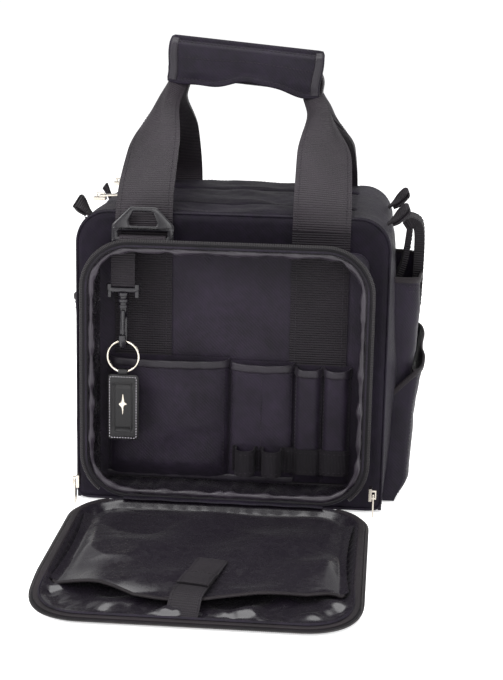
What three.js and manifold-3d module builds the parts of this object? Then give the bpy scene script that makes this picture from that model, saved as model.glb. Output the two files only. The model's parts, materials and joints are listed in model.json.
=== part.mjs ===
// Soft flight bag with a zipped front organizer whose flap is open and lies on the ground.
// Millimetres, +Z up, +X to the bag's right as its front is faced, +Y from its front to its rear.
// The origin is the centre of the base, on the ground.
import * as THREE from 'three';
import { mergeVertices } from 'three/addons/utils/BufferGeometryUtils.js';
import Module from 'manifold-3d';

const wasm = await Module();
wasm.setup();

// ---------------------------------------------------------------- driving dimensions
const BAG_WIDTH = 274;
const BAG_DEPTH = 214;
const BAG_HEIGHT = 264;
const SHOULDER_RADIUS = 28;
const SHELL = 3.5;            // padded nylon wall
const BASE_THICKNESS = 2.2;
const BOARD_THICKNESS = 2.4;
const GAP = 0.3;              // clearance between touching pieces
const FIT = 0.5;              // clearance between pieces that pass each other

const LID_HALF_WIDTH = 103.5; // the zipped openings end at the shoulders
const FRONT_ZIP_Y = -59;
const REAR_ZIP_Y = 45;
const ZIP_WIDTH = 4;
const ZIP_STAND = 1;          // zip teeth above the top panels

const WEBBING_WIDTH = 50;
const WEBBING = 2.2;
const STRAP_SPACING = 153.6;  // between the centres of the two legs of a handle
const STRAP_FOOT = 10;        // lowest stitching of the straps above the ground

const FRAME_WIDTH = 241;      // organizer compartment at its zip
const FRAME_HEIGHT = 222;
const FRAME_BASE = 19.5;
const FRAME_DEPTH = 46;
const FRAME_CORNER = 38;      // corner radius at the zip
const FRAME_BACK_CORNER = 10; // and at the front panel
const FRAME_WALL = 2.6;
const FRAME_FLARE = 3;        // the compartment widens by this much on each side towards its zip
const FRAME_TOP_FLARE = 9;    // and rises by this much
const TAPE_WIDTH = 4.2;
const TAPE_THICKNESS = 1.8;

const FLAP_DEPTH = 13;        // depth of the shallow tray that the flap forms
const FLAP_WALL = 2;
const FLAP_OVERLAP = 3;       // flap's free end past the compartment's top
const FLAP_POCKET_INSET = 12; // from the flap's edge to its pocket
const FLAP_POCKET_NEAR = 10;  // from the hinge to the pocket
const FLAP_POCKET_SIDE = 172; // the pocket's mouth at its sides
const FLAP_POCKET_MIDDLE = 200;
const FLAP_POCKET_CLOTH = 1.2;
const FLAP_TAB_HALF = 12.5;
const FLAP_TAB_TIP = 120;     // distance of the tab's tip from the hinge

const POCKET_CLOTH = 1.5;
const ORGANIZER_LEFT = -108;
const ORGANIZER_BASE = 27;
const ORGANIZER_TOP = 135.5;
const PHONE_POCKET_WIDTH = 108;
const PHONE_POCKET_DEPTH = 11.5;
const DOCUMENT_POCKET_WIDTH = 57;
const DOCUMENT_POCKET_DEPTH = 7.6;
const PEN_SLEEVE_WIDTH = 24.5;
const PEN_SLEEVE_DEPTH = 11.5;
const BATTERY_CELL = 16;      // clear width and depth of an elastic battery loop
const ELASTIC_HEIGHT = 23;
const ELASTIC_BASE = 37;
const ELASTIC = 1.4;

const KEY_X = -90;
const KEY_STRAP_TOP = 233.5;
const KEY_STRAP_BOTTOM = 203;
const KEY_STRAP_WIDTH = 20.5;
const RING_RADIUS = 13.6;     // to the middle of the wire
const RING_WIRE = 2.4;
const FOB_WIDTH = 27;
const FOB_HEIGHT = 58;
const FOB_THICKNESS = 3.2;
const EAR_WIDTH = 3.2;        // ears of the swivel bracket
const BARREL_LENGTH = 14;     // swivel barrel
const BARREL_RADIUS = 4;
const BARREL_RIB = 5;         // radius of the ribs on it
const HOOK_LOW = 148.6;       // underside of the snap hook
const HOOK_BAR = 3.8;
const HOOK_HALF = 2.6;        // half its thickness
const HOOK_SPREAD = 7.5;      // from its middle to its outer edge

const GRIP_LENGTH = 132;
const GRIP_HEIGHT = 34;
const GRIP_DEPTH = 34;
const GRIP_PAD = 3.2;
const GRIP_Z = 384;
const GRIP_TILT = 5;          // degrees, the right end hangs lower
const CORE_THICKNESS = 11;
const CORE_DEPTH = 24;

const TRIANGLE_HALF = 29;     // half the width of a shoulder strap ring
const TRIANGLE_HEIGHT = 32;
const TRIANGLE_BAR = 4;       // thickness of its moulding
const TRIANGLE_LEAN = 5;      // degrees away from the strap
const TRIANGLE_SLOT = 23;     // half the length of the slot for its webbing
const RING_LOOP_BORE = 3.3;   // radius of the webbing loop's inside
const RING_LOOP_CLOTH = 1.8;
const RING_LOOP_WIDTH = 40;

const SIDE_POCKET_HEIGHT = 205;
const SIDE_POCKET_PROUD = 27; // how far the pocket's mouth stands off the side
const SIDE_POCKET_FOOT = 8;
const SIDE_POCKET_WIDTH = 150;
const SLIP_POCKET_DEPTH = 10;
const SLIP_POCKET_FRONT = 96; // its mouth slants up from front to rear
const SLIP_POCKET_REAR = 134;
const CLOSURE_WIDTH = 38;
const LEFT_POCKET_HEIGHT = 178;
const LEFT_POCKET_DEPTH = 9;

const SLIDER_PLATE = 2.6;
const EYE_HEIGHT = 2.8;       // room for the puller's pin to turn
const PULL_THICKNESS = 1.2;
const SLIDER_HALF = 4.5;      // half the width of a slider
const TAB_THICKNESS = 1.8;    // webbing tabs at the zip ends and on the flap
const TAB_WIDTH = 19;
const TOP_PULL = 18;
const FLAP_PULL = 20;

// ---------------------------------------------------------------- derived places
const HALF_WIDTH = BAG_WIDTH / 2;
const FRONT_Y = -BAG_DEPTH / 2;
const REAR_Y = BAG_DEPTH / 2;
const WALL_FOOT = BASE_THICKNESS + GAP;
const LID_UNDERSIDE = BAG_HEIGHT - SHELL;
const STRAP_X = STRAP_SPACING / 2;
const STRAP_FACE = FRONT_Y - GAP - WEBBING;
const FRAME_BACK = STRAP_FACE - GAP;
const FRAME_FRONT = FRAME_BACK - FRAME_DEPTH + WEBBING + 2 * GAP;
const FRAME_TOP = FRAME_BASE + FRAME_HEIGHT;
const HINGE_Y = FRAME_FRONT - FIT;
const HINGE_Z = FRAME_BASE;
const POCKET_BACK = FRAME_BACK - GAP;
// The ring and fob turn full circle just clear of the phone pocket.
const KEY_Y = POCKET_BACK - PHONE_POCKET_DEPTH - RING_RADIUS - RING_WIRE / 2 - 1;
const CORE_BEND = GRIP_LENGTH / 2 + CORE_THICKNESS / 2 + FIT;

const group = new THREE.Group();

// ---------------------------------------------------------------- materials
function cloth(color, roughness = 0.85) {
  return { color, roughness, metalness: 0 };
}

const NYLON = cloth(0x1d1c22);
const LINING = cloth(0x4b4656, 0.4);
const WEB = cloth(0x26242a, 0.8);
const BINDING = cloth(0x2e292b, 0.8);
const ELASTIC_CLOTH = cloth(0x222026, 0.9);
const ZIP = { color: 0x17161a, roughness: 0.5, metalness: 0 };
const PLASTIC = { color: 0x121214, roughness: 0.4, metalness: 0 };
const CHROME = { color: 0xd8d2c4, roughness: 0.2, metalness: 1 };
const LEATHER = cloth(0x1a1718, 0.5);
const BOARD = { color: 0x3a3a3c, roughness: 0.7, metalness: 0 };

// ---------------------------------------------------------------- geometry helpers
function addMesh(name, geometry, finish, parent = group) {
  const mesh = new THREE.Mesh(geometry, new THREE.MeshStandardMaterial(finish));
  mesh.name = name;
  parent.add(mesh);
  return mesh;
}

function block(x0, x1, y0, y1, z0, z1) {
  const geometry = new THREE.BoxGeometry(x1 - x0, y1 - y0, z1 - z0);
  geometry.translate((x0 + x1) / 2, (y0 + y1) / 2, (z0 + z1) / 2);
  return geometry;
}

function extrude(shape, depth, curveSegments = 5) {
  return new THREE.ExtrudeGeometry(shape, { depth, bevelEnabled: false, curveSegments });
}

// A shape drawn in (x, z), carried along Y from y0 to y1.
function extrudeAlongY(shape, y0, y1, curveSegments) {
  const geometry = extrude(shape, y1 - y0, curveSegments);
  geometry.rotateX(Math.PI / 2);
  geometry.translate(0, y1, 0);
  return geometry;
}

// A shape drawn in (y, z), carried along X from x0 to x1.
function extrudeAlongX(shape, x0, x1, curveSegments) {
  const geometry = extrude(shape, x1 - x0, curveSegments);
  geometry.rotateX(Math.PI / 2);
  geometry.rotateZ(Math.PI / 2);
  geometry.translate(x0, 0, 0);
  return geometry;
}

function polygon(points) {
  const shape = new THREE.Shape();
  points.forEach(([u, v], i) => (i ? shape.lineTo(u, v) : shape.moveTo(u, v)));
  shape.closePath();
  return shape;
}

// Outline of a rectangle with round corners, anticlockwise, as a list of points.
function roundedPoints(u0, u1, v0, v1, radius, steps = 5) {
  const corners = [
    [u1 - radius, v0 + radius, -90],
    [u1 - radius, v1 - radius, 0],
    [u0 + radius, v1 - radius, 90],
    [u0 + radius, v0 + radius, 180],
  ];
  return corners.flatMap(([u, v, start]) => Array.from({ length: steps + 1 }, (_, i) => {
    const angle = THREE.MathUtils.degToRad(start + (90 * i) / steps);
    return [u + radius * Math.cos(angle), v + radius * Math.sin(angle)];
  }));
}

function roundedRectangle(u0, u1, v0, v1, radius, Type = THREE.Shape) {
  return new Type(roundedPoints(u0, u1, v0, v1, radius).map(([u, v]) => new THREE.Vector2(u, v)));
}

// A band of even thickness along a line of points: each end is cut square to its own stretch.
function ribbon(points, thickness) {
  const line = points.map(([u, v]) => new THREE.Vector2(u, v));
  const left = [];
  const right = [];
  line.forEach((point, i) => {
    const before = line[Math.max(i - 1, 0)];
    const after = line[Math.min(i + 1, line.length - 1)];
    const into = point.clone().sub(before).normalize();
    const out = after.clone().sub(point).normalize();
    const along = into.clone().add(out).normalize();
    const stretch = Math.max(into.length() && out.length() ? along.dot(out) : 1, 0.4);
    const offset = new THREE.Vector2(-along.y, along.x).multiplyScalar(thickness / 2 / stretch);
    left.push(point.clone().add(offset));
    right.push(point.clone().sub(offset));
  });
  return new THREE.Shape([...left, ...right.reverse()]);
}

// A closed skin over rings that all have the same number of points, in order.
function loft(rings) {
  const count = rings[0].length;
  const positions = rings.flat(2);
  const index = [];
  for (let r = 0; r + 1 < rings.length; r += 1) {
    for (let i = 0; i < count; i += 1) {
      const a = r * count + i;
      const b = r * count + ((i + 1) % count);
      index.push(a, b, b + count, a, b + count, a + count);
    }
  }
  const last = (rings.length - 1) * count;
  for (let i = 1; i + 1 < count; i += 1) {
    index.push(0, i + 1, i, last, last + i, last + i + 1);
  }
  const geometry = new THREE.BufferGeometry();
  geometry.setAttribute('position', new THREE.Float32BufferAttribute(positions, 3));
  geometry.setIndex(index);
  return geometry;
}

function solid(geometry) {
  const bare = geometry.clone();
  bare.deleteAttribute('normal');
  bare.deleteAttribute('uv');
  const merged = mergeVertices(bare, 1e-4);
  return new wasm.Manifold(new wasm.Mesh({
    numProp: 3,
    vertProperties: new Float32Array(merged.attributes.position.array),
    triVerts: new Uint32Array(merged.index.array),
  }));
}

function geometryOf(manifold) {
  const mesh = manifold.getMesh();
  const geometry = new THREE.BufferGeometry();
  geometry.setAttribute('position', new THREE.BufferAttribute(mesh.vertProperties, 3));
  geometry.setIndex(new THREE.BufferAttribute(mesh.triVerts, 1));
  return geometry;
}

function cut(body, ...tools) {
  return geometryOf(tools.reduce((left, tool) => left.subtract(solid(tool)), solid(body)));
}

function join(...bodies) {
  return geometryOf(bodies.map(solid).reduce((left, right) => left.add(right)));
}

function moved(geometry, x, y, z) {
  return geometry.clone().translate(x, y, z);
}

// ---------------------------------------------------------------- main body
function endPanelShape() {
  const top = BAG_HEIGHT - SHELL;
  const shape = new THREE.Shape();
  shape.moveTo(-HALF_WIDTH, WALL_FOOT);
  shape.lineTo(HALF_WIDTH, WALL_FOOT);
  shape.lineTo(HALF_WIDTH, top - SHOULDER_RADIUS);
  shape.absarc(HALF_WIDTH - SHOULDER_RADIUS, top - SHOULDER_RADIUS, SHOULDER_RADIUS, 0, Math.PI / 2);
  shape.lineTo(SHOULDER_RADIUS - HALF_WIDTH, top);
  shape.absarc(SHOULDER_RADIUS - HALF_WIDTH, top - SHOULDER_RADIUS, SHOULDER_RADIUS, Math.PI / 2, Math.PI);
  shape.closePath();
  return shape;
}

// Side wall that bends over the shoulder and ends at the zipped openings.
function gussetShape(side) {
  const centreX = HALF_WIDTH - SHOULDER_RADIUS;
  const centreZ = BAG_HEIGHT - SHOULDER_RADIUS;
  const steps = 6;
  const arc = (radius) => Array.from({ length: steps + 1 }, (_, i) => {
    const angle = (i / steps) * (Math.PI / 2);
    return [centreX + radius * Math.cos(angle), centreZ + radius * Math.sin(angle)];
  });
  const inner = SHOULDER_RADIUS - SHELL;
  const end = LID_HALF_WIDTH + FIT;
  const outline = [
    [HALF_WIDTH, WALL_FOOT],
    ...arc(SHOULDER_RADIUS),
    [end, BAG_HEIGHT],
    [end, LID_UNDERSIDE],
    ...arc(inner).reverse(),
    [HALF_WIDTH - SHELL, WALL_FOOT],
  ];
  return polygon(outline.map(([x, z]) => [side * x, z]));
}

function buildBody() {
  const plan = roundedRectangle(-HALF_WIDTH, HALF_WIDTH, FRONT_Y, REAR_Y, 14);
  addMesh('base_panel', extrude(plan, BASE_THICKNESS), NYLON);
  const boardX = HALF_WIDTH - SHELL - 2 * FIT;
  const boardY = REAR_Y - SHELL - 2 * FIT;
  const boardTop = WALL_FOOT + BOARD_THICKNESS;
  addMesh('base_board', block(-boardX, boardX, -boardY, boardY, WALL_FOOT, boardTop), BOARD);
  addMesh('front_panel', extrudeAlongY(endPanelShape(), FRONT_Y, FRONT_Y + SHELL), NYLON);
  addMesh('rear_panel', extrudeAlongY(endPanelShape(), REAR_Y - SHELL, REAR_Y), NYLON);
  const gussetEnd = REAR_Y - SHELL - GAP;
  addMesh('left_gusset', extrudeAlongY(gussetShape(-1), -gussetEnd, gussetEnd), NYLON);
  addMesh('right_gusset', extrudeAlongY(gussetShape(1), -gussetEnd, gussetEnd), NYLON);
  const dividerX = HALF_WIDTH - SHELL - GAP;
  const dividerCorner = SHOULDER_RADIUS - SHELL;
  const divider = new THREE.Shape();
  const dividerTop = LID_UNDERSIDE - GAP;
  divider.moveTo(-dividerX, boardTop + GAP);
  divider.lineTo(dividerX, boardTop + GAP);
  divider.lineTo(dividerX, dividerTop - dividerCorner);
  divider.lineTo(dividerX - dividerCorner, dividerTop);
  divider.lineTo(dividerCorner - dividerX, dividerTop);
  divider.lineTo(-dividerX, dividerTop - dividerCorner);
  addMesh('compartment_divider', extrudeAlongY(divider, FRONT_ZIP_Y - 1, FRONT_ZIP_Y + 1), LINING);
}

function buildTop() {
  const half = ZIP_WIDTH / 2;
  const x = LID_HALF_WIDTH;
  const end = REAR_Y - SHELL - GAP;
  const zipTop = BAG_HEIGHT + ZIP_STAND;
  const strip = (y0, y1, top = BAG_HEIGHT) => block(-x, x, y0, y1, LID_UNDERSIDE, top);
  addMesh('front_lid', strip(-end, FRONT_ZIP_Y - half - GAP), NYLON);
  addMesh('front_zip', strip(FRONT_ZIP_Y - half, FRONT_ZIP_Y + half, zipTop), ZIP);
  addMesh('main_lid', strip(FRONT_ZIP_Y + half + GAP, REAR_ZIP_Y - half - GAP), NYLON);
  const rearZip = strip(REAR_ZIP_Y - half, REAR_ZIP_Y + half, zipTop);
  addMesh('rear_top_panel', join(rearZip, strip(REAR_ZIP_Y, end)), NYLON);
}

// ---------------------------------------------------------------- organizer compartment
// Rounded outline in (x, z) as a ring of points at depth y, grown outwards by grow.
function frameRing(y, grow, flare) {
  const halfWidth = FRAME_WIDTH / 2 - FRAME_FLARE * (1 - flare) + grow;
  const low = FRAME_BASE + 2 * (1 - flare) - grow;
  const high = FRAME_TOP - FRAME_TOP_FLARE * (1 - flare) + grow;
  const corner = FRAME_BACK_CORNER + (FRAME_CORNER - FRAME_BACK_CORNER) * flare + grow;
  return roundedPoints(-halfWidth, halfWidth, low, high, corner).map(([x, z]) => [x, y, z]);
}

function frameSolid(y0, y1, grow0, grow1) {
  const flareAt = (y) => (FRAME_BACK - y) / (FRAME_BACK - FRAME_FRONT);
  return loft([frameRing(y1, grow1, flareAt(y1)), frameRing(y0, grow0, flareAt(y0))]);
}

function buildFrame() {
  const outer = frameSolid(FRAME_FRONT, FRAME_BACK, 0, 0);
  const inner = frameSolid(FRAME_FRONT - 1, FRAME_BACK + 1, -FRAME_WALL, -FRAME_WALL);
  addMesh('organizer_gusset', cut(outer, inner), NYLON);
  const tapeFront = FRAME_FRONT + 1;
  const tapeBack = tapeFront + TAPE_THICKNESS;
  const tape = frameSolid(tapeFront, tapeBack, TAPE_WIDTH + GAP, TAPE_WIDTH + GAP);
  const hole = frameSolid(tapeFront - 1, tapeBack + 1, GAP, GAP);
  addMesh('compartment_zip', cut(tape, hole), ZIP);
}

// Pocket sewn to the backing: closed at its foot and sides, open at its top.
function pocketShell(x0, x1, depth, mouth, partitions = []) {
  const y0 = POCKET_BACK - depth;
  const outer = block(x0, x1, y0, POCKET_BACK, ORGANIZER_BASE, mouth);
  const walls = [x0 + POCKET_CLOTH / 2, ...partitions, x1 - POCKET_CLOTH / 2];
  const hollows = walls.slice(1).map((wall, i) => block(
    walls[i] + POCKET_CLOTH / 2,
    wall - POCKET_CLOTH / 2,
    y0 + POCKET_CLOTH,
    POCKET_BACK - POCKET_CLOTH,
    ORGANIZER_BASE + POCKET_CLOTH,
    mouth + 1,
  ));
  return cut(outer, ...hollows);
}

function buildOrganizer() {
  const phoneRight = ORGANIZER_LEFT + PHONE_POCKET_WIDTH;
  const phone = pocketShell(ORGANIZER_LEFT, phoneRight, PHONE_POCKET_DEPTH, ORGANIZER_TOP);
  addMesh('phone_pocket', phone, NYLON);
  const documentLeft = phoneRight + GAP;
  const documentRight = documentLeft + DOCUMENT_POCKET_WIDTH;
  const papers = pocketShell(documentLeft, documentRight, DOCUMENT_POCKET_DEPTH, ORGANIZER_TOP - 2);
  addMesh('document_pocket', papers, NYLON);
  const penLeft = documentRight + GAP;
  const penMiddle = penLeft + PEN_SLEEVE_WIDTH;
  const penRight = penMiddle + PEN_SLEEVE_WIDTH;
  const pens = pocketShell(penLeft, penRight, PEN_SLEEVE_DEPTH, ORGANIZER_TOP - 4, [penMiddle]);
  addMesh('pen_sleeves', pens, NYLON);
  buildElastic(documentLeft, penLeft, penRight);
}

// One band of elastic: two deep battery loops, then a flat run across the pen sleeves.
function buildElastic(left, penLeft, right) {
  const backY = POCKET_BACK - DOCUMENT_POCKET_DEPTH - GAP - ELASTIC / 2;
  const frontY = backY - BATTERY_CELL - ELASTIC;
  const overPens = POCKET_BACK - PEN_SLEEVE_DEPTH - GAP - ELASTIC / 2;
  const seam = 3;
  const pitch = BATTERY_CELL + ELASTIC + 2 * seam;
  const first = left + 4;
  const line = [[first, backY]];
  for (let cell = 0; cell < 2; cell += 1) {
    const x = first + seam + cell * pitch;
    const far = x + BATTERY_CELL + ELASTIC;
    line.push([x, backY], [x, frontY + 3], [x + 3, frontY]);
    line.push([far - 3, frontY], [far, frontY + 3], [far, backY]);
  }
  line.push([penLeft - 1, backY], [penLeft - 1, overPens], [right, overPens]);
  const band = extrude(ribbon(line, ELASTIC), ELASTIC_HEIGHT);
  band.translate(0, 0, ELASTIC_BASE);
  addMesh('elastic_loops', band, ELASTIC_CLOTH);
}

// ---------------------------------------------------------------- handle
function buildStrapsOnPanels() {
  const sides = [['left', -1], ['right', 1]];
  const ends = [['front', -1], ['rear', 1]];
  const half = WEBBING_WIDTH / 2;
  const top = BAG_HEIGHT - SHOULDER_RADIUS / 2;
  for (const [end, facing] of ends) {
    for (const [side, sign] of sides) {
      const x = sign * STRAP_X;
      const near = facing * (REAR_Y + GAP);
      const far = near + facing * WEBBING;
      const strap = block(x - half, x + half, Math.min(near, far), Math.max(near, far), STRAP_FOOT, top);
      addMesh(`${end}_strap_${side}`, strap, WEB);
    }
  }
}

// A leg of webbing as a loft of oblong rings: centre, width, thickness and twist about Z.
function legRing([x, y, z, width, thickness, twist]) {
  const angle = THREE.MathUtils.degToRad(twist);
  const across = new THREE.Vector3(Math.cos(angle), Math.sin(angle), 0).multiplyScalar(width / 2);
  const through = new THREE.Vector3(-Math.sin(angle), Math.cos(angle), 0).multiplyScalar(thickness / 2);
  const corners = [[-1, -1], [1, -1], [1, 1], [-1, 1]];
  return corners.map(([a, t]) => [
    x + a * across.x + t * through.x,
    y + a * across.y + t * through.y,
    z,
  ]);
}

function buildLegs() {
  const foot = BAG_HEIGHT - SHOULDER_RADIUS / 2 + GAP;
  const face = -STRAP_FACE - WEBBING / 2;
  const tilt = Math.tan(THREE.MathUtils.degToRad(GRIP_TILT));
  for (const side of [-1, 1]) {
    const top = GRIP_Z - side * (GRIP_LENGTH / 2) * tilt - GRIP_HEIGHT / 2 - 3;
    for (const facing of [-1, 1]) {
      const turn = -side * facing;
      const sections = [
        [STRAP_X, face, foot, WEBBING_WIDTH, WEBBING, 0],
        [STRAP_X, face, foot + 14, WEBBING_WIDTH, WEBBING, 0],
        [STRAP_X - 5, face - 12, foot + 36, WEBBING_WIDTH - 4, WEBBING, 34],
        [STRAP_X - 8, face - 48, foot + 70, WEBBING_WIDTH - 8, WEBBING, 54],
        [STRAP_X - 8, face - 72, foot + 92, 34, WEBBING + 1, 64],
        [CORE_BEND, 14, top, 23, 5, 78],
      ];
      const rings = sections.map(([x, y, z, width, thickness, twist]) => legRing([
        side * x, facing * y, z, width, thickness, turn * twist,
      ]));
      const end = facing < 0 ? 'front' : 'rear';
      addMesh(`${end}_handle_${side < 0 ? 'left' : 'right'}`, loft(rings), WEB);
    }
  }
}

function buildGrip() {
  const grip = new THREE.Group();
  grip.position.set(0, 0, GRIP_Z);
  grip.rotation.y = THREE.MathUtils.degToRad(GRIP_TILT);
  group.add(grip);
  const halfLength = GRIP_LENGTH / 2;
  const halfDepth = GRIP_DEPTH / 2;
  const halfHeight = GRIP_HEIGHT / 2;
  const bend = CORE_BEND;
  const line = [
    [-bend, -halfHeight - 2], [-bend, -9], [-halfLength + 1, 0],
    [halfLength - 1, 0], [bend, -9], [bend, -halfHeight - 2],
  ];
  const core = extrudeAlongY(ribbon(line, CORE_THICKNESS), -CORE_DEPTH / 2, CORE_DEPTH / 2);
  addMesh('handle_core', core, WEB, grip);
  const lip = halfDepth - GRIP_PAD - GAP;
  const channel = polygon([
    [-lip, halfHeight], [halfDepth, halfHeight], [halfDepth, -halfHeight], [-lip, -halfHeight],
    [-lip, GRIP_PAD - halfHeight], [halfDepth - GRIP_PAD, GRIP_PAD - halfHeight],
    [halfDepth - GRIP_PAD, halfHeight - GRIP_PAD], [-lip, halfHeight - GRIP_PAD],
  ]);
  addMesh('grip_wrap', extrudeAlongX(channel, -halfLength, halfLength), NYLON, grip);
  const front = block(-halfLength, halfLength, -halfDepth, -lip - GAP, -halfHeight, halfHeight);
  addMesh('grip_flap', front, NYLON, grip);
}

// ---------------------------------------------------------------- shoulder strap rings
function buildTriangle(end, sign, facing) {
  const barZ = BAG_HEIGHT - 24.5;
  const loopOuter = RING_LOOP_BORE + RING_LOOP_CLOTH;
  const barY = facing * (-STRAP_FACE + GAP + loopOuter);
  const holder = new THREE.Group();
  holder.position.set(sign * STRAP_X, barY, barZ);
  holder.rotation.x = THREE.MathUtils.degToRad(facing * TRIANGLE_LEAN);
  group.add(holder);
  const low = -TRIANGLE_BAR / 2;
  const shoulder = low + 15;
  const high = low + TRIANGLE_HEIGHT;
  const outline = polygon([
    [-TRIANGLE_HALF + 2, low], [TRIANGLE_HALF - 2, low], [TRIANGLE_HALF, low + 2], [TRIANGLE_HALF, shoulder],
    [9, high], [-9, high], [-TRIANGLE_HALF, shoulder], [-TRIANGLE_HALF, low + 2],
  ]);
  const slotLow = -low;
  const slot = polygon([
    [-TRIANGLE_SLOT, slotLow], [TRIANGLE_SLOT, slotLow],
    [TRIANGLE_SLOT, slotLow + 6], [-TRIANGLE_SLOT, slotLow + 6],
  ]);
  const eyeLow = slotLow + 10;
  const eye = polygon([[-15, eyeLow], [15, eyeLow], [5, high - 5], [-5, high - 5]]);
  outline.holes.push(slot, eye);
  const half = TRIANGLE_BAR / 2;
  addMesh(`triangle_ring_${end}`, extrudeAlongY(outline, -half, half), PLASTIC, holder);
  const loop = new THREE.CylinderGeometry(loopOuter, loopOuter, RING_LOOP_WIDTH, 10);
  const bore = new THREE.CylinderGeometry(RING_LOOP_BORE, RING_LOOP_BORE, RING_LOOP_WIDTH + 2, 10);
  loop.rotateZ(Math.PI / 2);
  bore.rotateZ(Math.PI / 2);
  const strapSide = -facing * loopOuter;
  const skin = strapSide + facing * RING_LOOP_CLOTH;
  const tailFoot = FRAME_TOP - FRAME_TOP_FLARE + FIT - barZ;
  const halfLoop = RING_LOOP_WIDTH / 2;
  const tail = block(-halfLoop, halfLoop, Math.min(strapSide, skin), Math.max(strapSide, skin), tailFoot, 0);
  const band = cut(join(loop, tail), bore);
  band.translate(sign * STRAP_X, barY, barZ);
  addMesh(`ring_loop_${end}`, band, WEB);
}

// ---------------------------------------------------------------- zip sliders, pulls and end tabs
// Slider body on the XY plane, its puller's pin along Y in the bridge's eye, travel along X.
function sliderGeometry() {
  const foot = -SLIDER_PLATE;
  const plate = extrudeAlongY(polygon([[-6, foot], [5, foot], [5, 0], [-6, 0]]), -SLIDER_HALF, SLIDER_HALF);
  const crown = EYE_HEIGHT + 1;
  const bridge = extrudeAlongY(polygon([[-4, -0.5], [4, -0.5], [4, crown], [-4, crown]]), -1.4, 1.4);
  const eye = extrudeAlongY(polygon([[-2.4, 0], [2.4, 0], [2.4, EYE_HEIGHT], [-2.4, EYE_HEIGHT]]), -3, 3);
  return cut(join(plate, bridge), eye);
}

// Flat puller about its pin, its length along X and its thickness along Z.
function pullGeometry(length) {
  const half = 4;
  const outline = roundedRectangle(-1, length, -half, half, 1.0);
  const window = roundedRectangle(1, 5, -2, 2, 0.5, THREE.Path);
  const toe = roundedRectangle(length - 7, length - 3, -1.6, 1.6, 1, THREE.Path);
  outline.holes.push(window, toe);
  const pull = extrude(outline, PULL_THICKNESS, 2);
  pull.translate(0, 0, -PULL_THICKNESS / 2);
  return pull;
}

function buildTopSlider(name, y) {
  const x = -(LID_HALF_WIDTH + TOP_PULL + 2.5);
  const top = BAG_HEIGHT + ZIP_STAND + FIT + SLIDER_PLATE;
  addMesh(`${name}_slider`, moved(sliderGeometry(), x, y, top), CHROME);
  const pull = pullGeometry(TOP_PULL);
  pull.rotateY(THREE.MathUtils.degToRad(-4));
  addMesh(`${name}_pull`, moved(pull, x, y, top + EYE_HEIGHT / 2), CHROME);
}

function buildFlapSlider(side) {
  const name = side < 0 ? 'left' : 'right';
  const reach = FRAME_WIDTH / 2 + TAPE_WIDTH + 2 * GAP + FIT + SLIDER_PLATE;
  const z = FRAME_BASE + 12;
  const slider = sliderGeometry();
  slider.rotateY(Math.PI / 2);
  const pull = pullGeometry(FLAP_PULL);
  pull.rotateY(Math.PI / 2);
  pull.translate(EYE_HEIGHT / 2, 0, 0);
  if (side < 0) {
    slider.rotateZ(Math.PI);
    pull.rotateZ(Math.PI);
  }
  addMesh(`flap_slider_${name}`, moved(slider, side * reach, FRAME_FRONT + 2, z), CHROME);
  addMesh(`flap_pull_${name}`, moved(pull, side * reach, FRAME_FRONT + 2, z), CHROME);
}

function buildTabs() {
  for (const side of [-1, 1]) {
    for (const [name, y] of [['front', FRONT_ZIP_Y], ['rear', REAR_ZIP_Y]]) {
      const line = [[-5, -9.5], [10, 0.5], [14, 0], [14, -3.5], [1, -13]];
      const loop = ribbon(line.map(([x, z]) => [side * (HALF_WIDTH + x), BAG_HEIGHT + z]), TAB_THICKNESS);
      const tab = extrudeAlongY(loop, y - TAB_WIDTH / 2, y + TAB_WIDTH / 2);
      addMesh(`${name}_zip_tab_${side < 0 ? 'left' : 'right'}`, tab, WEB);
    }
  }
}

// ---------------------------------------------------------------- side pockets
// The bulging outer face of the right pocket in (x, z), from the height foot up to the height top.
function pocketFace(offset, foot, top) {
  const near = HALF_WIDTH + GAP;
  const mouth = near + SIDE_POCKET_PROUD + offset;
  const base = near + SIDE_POCKET_FOOT + offset;
  const face = [[base, 1], [base + 7, 20], [mouth - 9, 90], [mouth, 165], [mouth, 2 * SIDE_POCKET_HEIGHT]];
  const xAt = (z) => {
    const i = Math.max(face.findIndex((point) => point[1] > z), 1);
    const [x0, z0] = face[i - 1];
    const [x1, z1] = face[i];
    return x0 + ((x1 - x0) * (z - z0)) / (z1 - z0);
  };
  const between = face.filter(([, z]) => z > foot && z < top);
  return [[xAt(foot), foot], ...between, [xAt(top), top]];
}

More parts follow.
